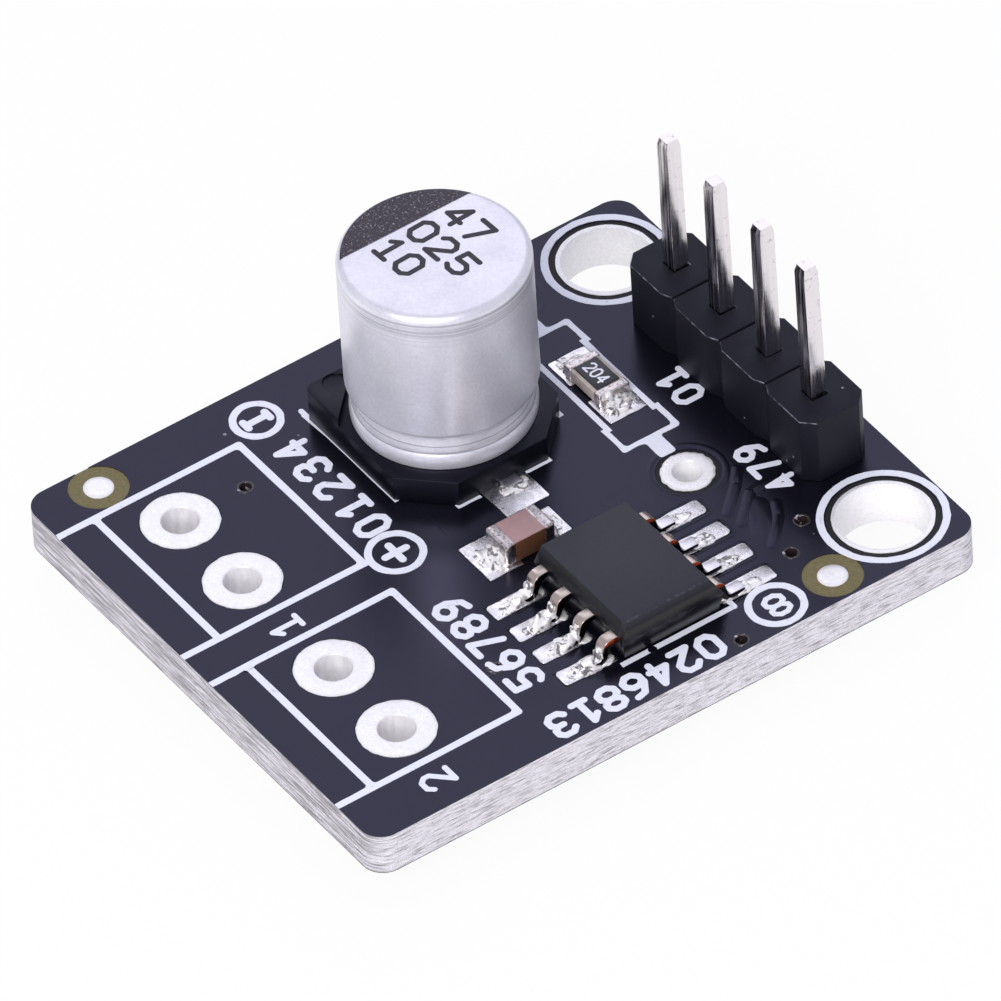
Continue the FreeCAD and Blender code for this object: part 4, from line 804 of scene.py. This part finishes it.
# The bends of the front row stand 0.2 mm further out than the solids, as the photo has them.
FRONT_FACE, BEND_REACH, PUSH = -10.42, 0.9, 0.2
leads = [f"chip_lead_{i}" for i in range(1, 9)]
shape = eased_copy(leads, 0.02)
for vert in shape.verts:
    out = FRONT_FACE - vert.co.y / MM
    if 0 < out < BEND_REACH:
        vert.co.y -= PUSH * MM * min(out / 0.15, 1, (BEND_REACH - out) / 0.3)
add_piece("gull_wing_leads", shape, cut_lead, "lead_tin", *leads)
dress(matt_tin, "chip_heat_slug")
LEAD_PITCH = 1.27
shape = bmesh.new()
for side in (-1, 1):
    for i in range(4):
        x = CHIP.x + (i - 1.5) * LEAD_PITCH
        seed = 3.1 * i + side
        reach, length, level = (2.98, 0.36, 0.12) if side > 0 else (2.92, 0.46, 0.36)
        add_lump(shape, (x, CHIP.y + side * reach, 1.62), (0.28, length, level), bumps=0.5, seed=seed)
        add_lump(shape, (x, CHIP.y + side * 3.3, 1.61), (0.27, 0.4, 0.08), bumps=0.5, seed=seed + 2)
        add_lump(shape, (x + 0.02, CHIP.y + side * 2.35, 1.62), (0.27, 0.3, 0.08), seed=seed + 1)
        if side < 0:
            add_lump(shape, (x, CHIP.y - 2.56, 1.9), (0.225, 0.13, 0.38), seed=seed + 4)
add_piece("chip_joints", shape, bright_solder, "solder", "chip_solder")

# ---------------------------------------------------------------------------------------------
# Chip resistor: a white alumina block with tinned ends; a black glass coat with white numbers
# covers the resistive film between them.

# Gives warm greyish white, faintly mottled, with a dull shine.
alumina, tree, place = new_material("fired_alumina")
grain = node(tree, "TexNoise", {"Vector": place, "Scale": per(0.1667), "Detail": 4.0})
body = node(tree, "Mix", {0: grain, 6: "#c9bfb8", 7: "#9d928c"}, data_type="RGBA")
skin = node(tree, "BsdfPrincipled", {"Base Color": body, "Roughness": 0.45})
node(tree, "OutputMaterial", {"Surface": skin})
add_piece("alumina_block", eased_copy(["resistor_body"], 0.02), alumina, "resistor_alumina",
          "resistor_body")

# Gives bright metal full of small grey pits, which catch the light.
plated_end, tree, place = new_material("plated_chip_end")
grain = node(tree, "TexNoise", {"Vector": place, "Scale": per(0.125), "Detail": 5.0, "Roughness": 0.75})
pits = node(tree, "MapRange", {"Value": grain, "From Min": 0.36, "From Max": 0.52})
body = node(tree, "Mix", {0: pits, 6: "#857c7c", 7: "#e6dfdd"}, data_type="RGBA")
bump = node(tree, "Bump", {"Strength": 0.6, "Distance": 0.02 * MM, "Height": grain})
skin = node(tree, "BsdfPrincipled", {"Base Color": body, "Metallic": 1.0, "Roughness": 0.3, "Normal": bump})
node(tree, "OutputMaterial", {"Surface": skin})
shape = bmesh.new()
for left in (-4.0, -2.36):
    add_block(shape, (left, -4.25, 1.63), (left + 0.36, -3.03, 2.12), 0.08)
add_piece("resistor_ends", shape, plated_end, "resistor_end_tin", "resistor_end_cap_1",
          "resistor_end_cap_2")

# Gives smooth near black with one soft reflection.
glass_coat, tree, place = new_material("black_glass_coat")
grain = node(tree, "TexNoise", {"Vector": place, "Scale": per(0.25), "Detail": 3.0})
body = node(tree, "Mix", {0: grain, 6: "#1b1b23", 7: "#24242e"}, data_type="RGBA")
skin = node(tree, "BsdfPrincipled", {"Base Color": body, "Roughness": 0.3})
node(tree, "OutputMaterial", {"Surface": skin})
shape = eased_copy(["resistor_overcoat"], 0.015)
add_piece("glass_coat", shape, glass_coat, "resistor_glass_coat", "resistor_overcoat")
shape = bmesh.new()
add_number(shape, "204", on_board(-3.45, -3.86, 2.14), 0.23, 0.42, 0.34, 0.075, 0.006)
add_piece("resistor_numbers", shape, white_ink, "white_ink")
shape = bmesh.new()
for side in (-1, 1):
    end = -3.0 + side * 1.0
    add_lump(shape, (end + side * 0.12, -3.64, 1.62), (0.3, 0.58, 0.26), seed=side + 5.0)
    add_lump(shape, (end + side * 0.42, -3.75, 1.62), (0.26, 0.45, 0.1), bumps=0.7, seed=side + 6.0)
add_lump(shape, (-1.98, -3.92, 2.04), (0.19, 0.22, 0.17), bumps=0.15, seed=7.0)
add_lump(shape, (-1.74, -4.0, 1.68), (0.2, 0.22, 0.14), bumps=0.2, seed=7.5)
add_piece("resistor_joints", shape, bright_solder, "solder", "resistor_solder")

# ---------------------------------------------------------------------------------------------
# Ceramic capacitor: a fired block of brown ceramic layers with rounded silver ends.
# Its joint on the terminal side is a large bright mound.

# Gives a pinkish brown top and sides painted deeper brown as shade, with a dull shine.
brown_ceramic, tree, place = new_material("fired_brown_ceramic")
grain = node(tree, "TexNoise", {"Vector": place, "Scale": per(0.2857), "Detail": 5.0})
body = node(tree, "Mix", {0: grain, 6: "#ac8c8e", 7: "#9a7a7b"}, data_type="RGBA")
facing = node(tree, "SeparateXYZ", {0: node(tree, "NewGeometry").outputs["Normal"]})
# Painted shade: faces turned away from the top are given a deep brown.
side_on = node(tree, "MapRange", {"Value": facing.outputs["Z"], "From Min": 0.8, "From Max": 0.5})
body = node(tree, "Mix", {0: side_on, 6: body, 7: "#5d3d2a"}, data_type="RGBA")
bump = node(tree, "Bump", {"Strength": 0.2, "Distance": 0.01 * MM, "Height": grain})
skin = node(tree, "BsdfPrincipled", {"Base Color": body, "Roughness": 0.34, "Normal": bump})
node(tree, "OutputMaterial", {"Surface": skin})
add_piece("ceramic_block", eased_copy(["ceramic_body"], 0.04), brown_ceramic, "brown_ceramic",
          "ceramic_body")
shape = bmesh.new()
for front in (-10.84, -9.34):
    add_block(shape, (1.01, front, 1.62), (2.23, front + 0.44, 2.52), 0.13)
add_piece("ceramic_ends", shape, plated_end, "ceramic_end_tin", "ceramic_end_cap_1", "ceramic_end_cap_2")
shape = bmesh.new()
add_lump(shape, (1.62, -10.9, 1.62), (0.52, 0.22, 0.42), bumps=0.6, seed=8.0)
add_lump(shape, (1.5, -11.12, 1.62), (0.6, 0.28, 0.09), bumps=0.6, seed=9.0)
add_lump(shape, (1.62, -8.82, 1.62), (0.5, 0.24, 0.34), seed=10.0)
add_lump(shape, (1.45, -8.5, 1.62), (0.5, 0.26, 0.08), bumps=0.6, seed=11.0)
add_piece("ceramic_joints", shape, bright_solder, "solder", "ceramic_solder")

low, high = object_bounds()
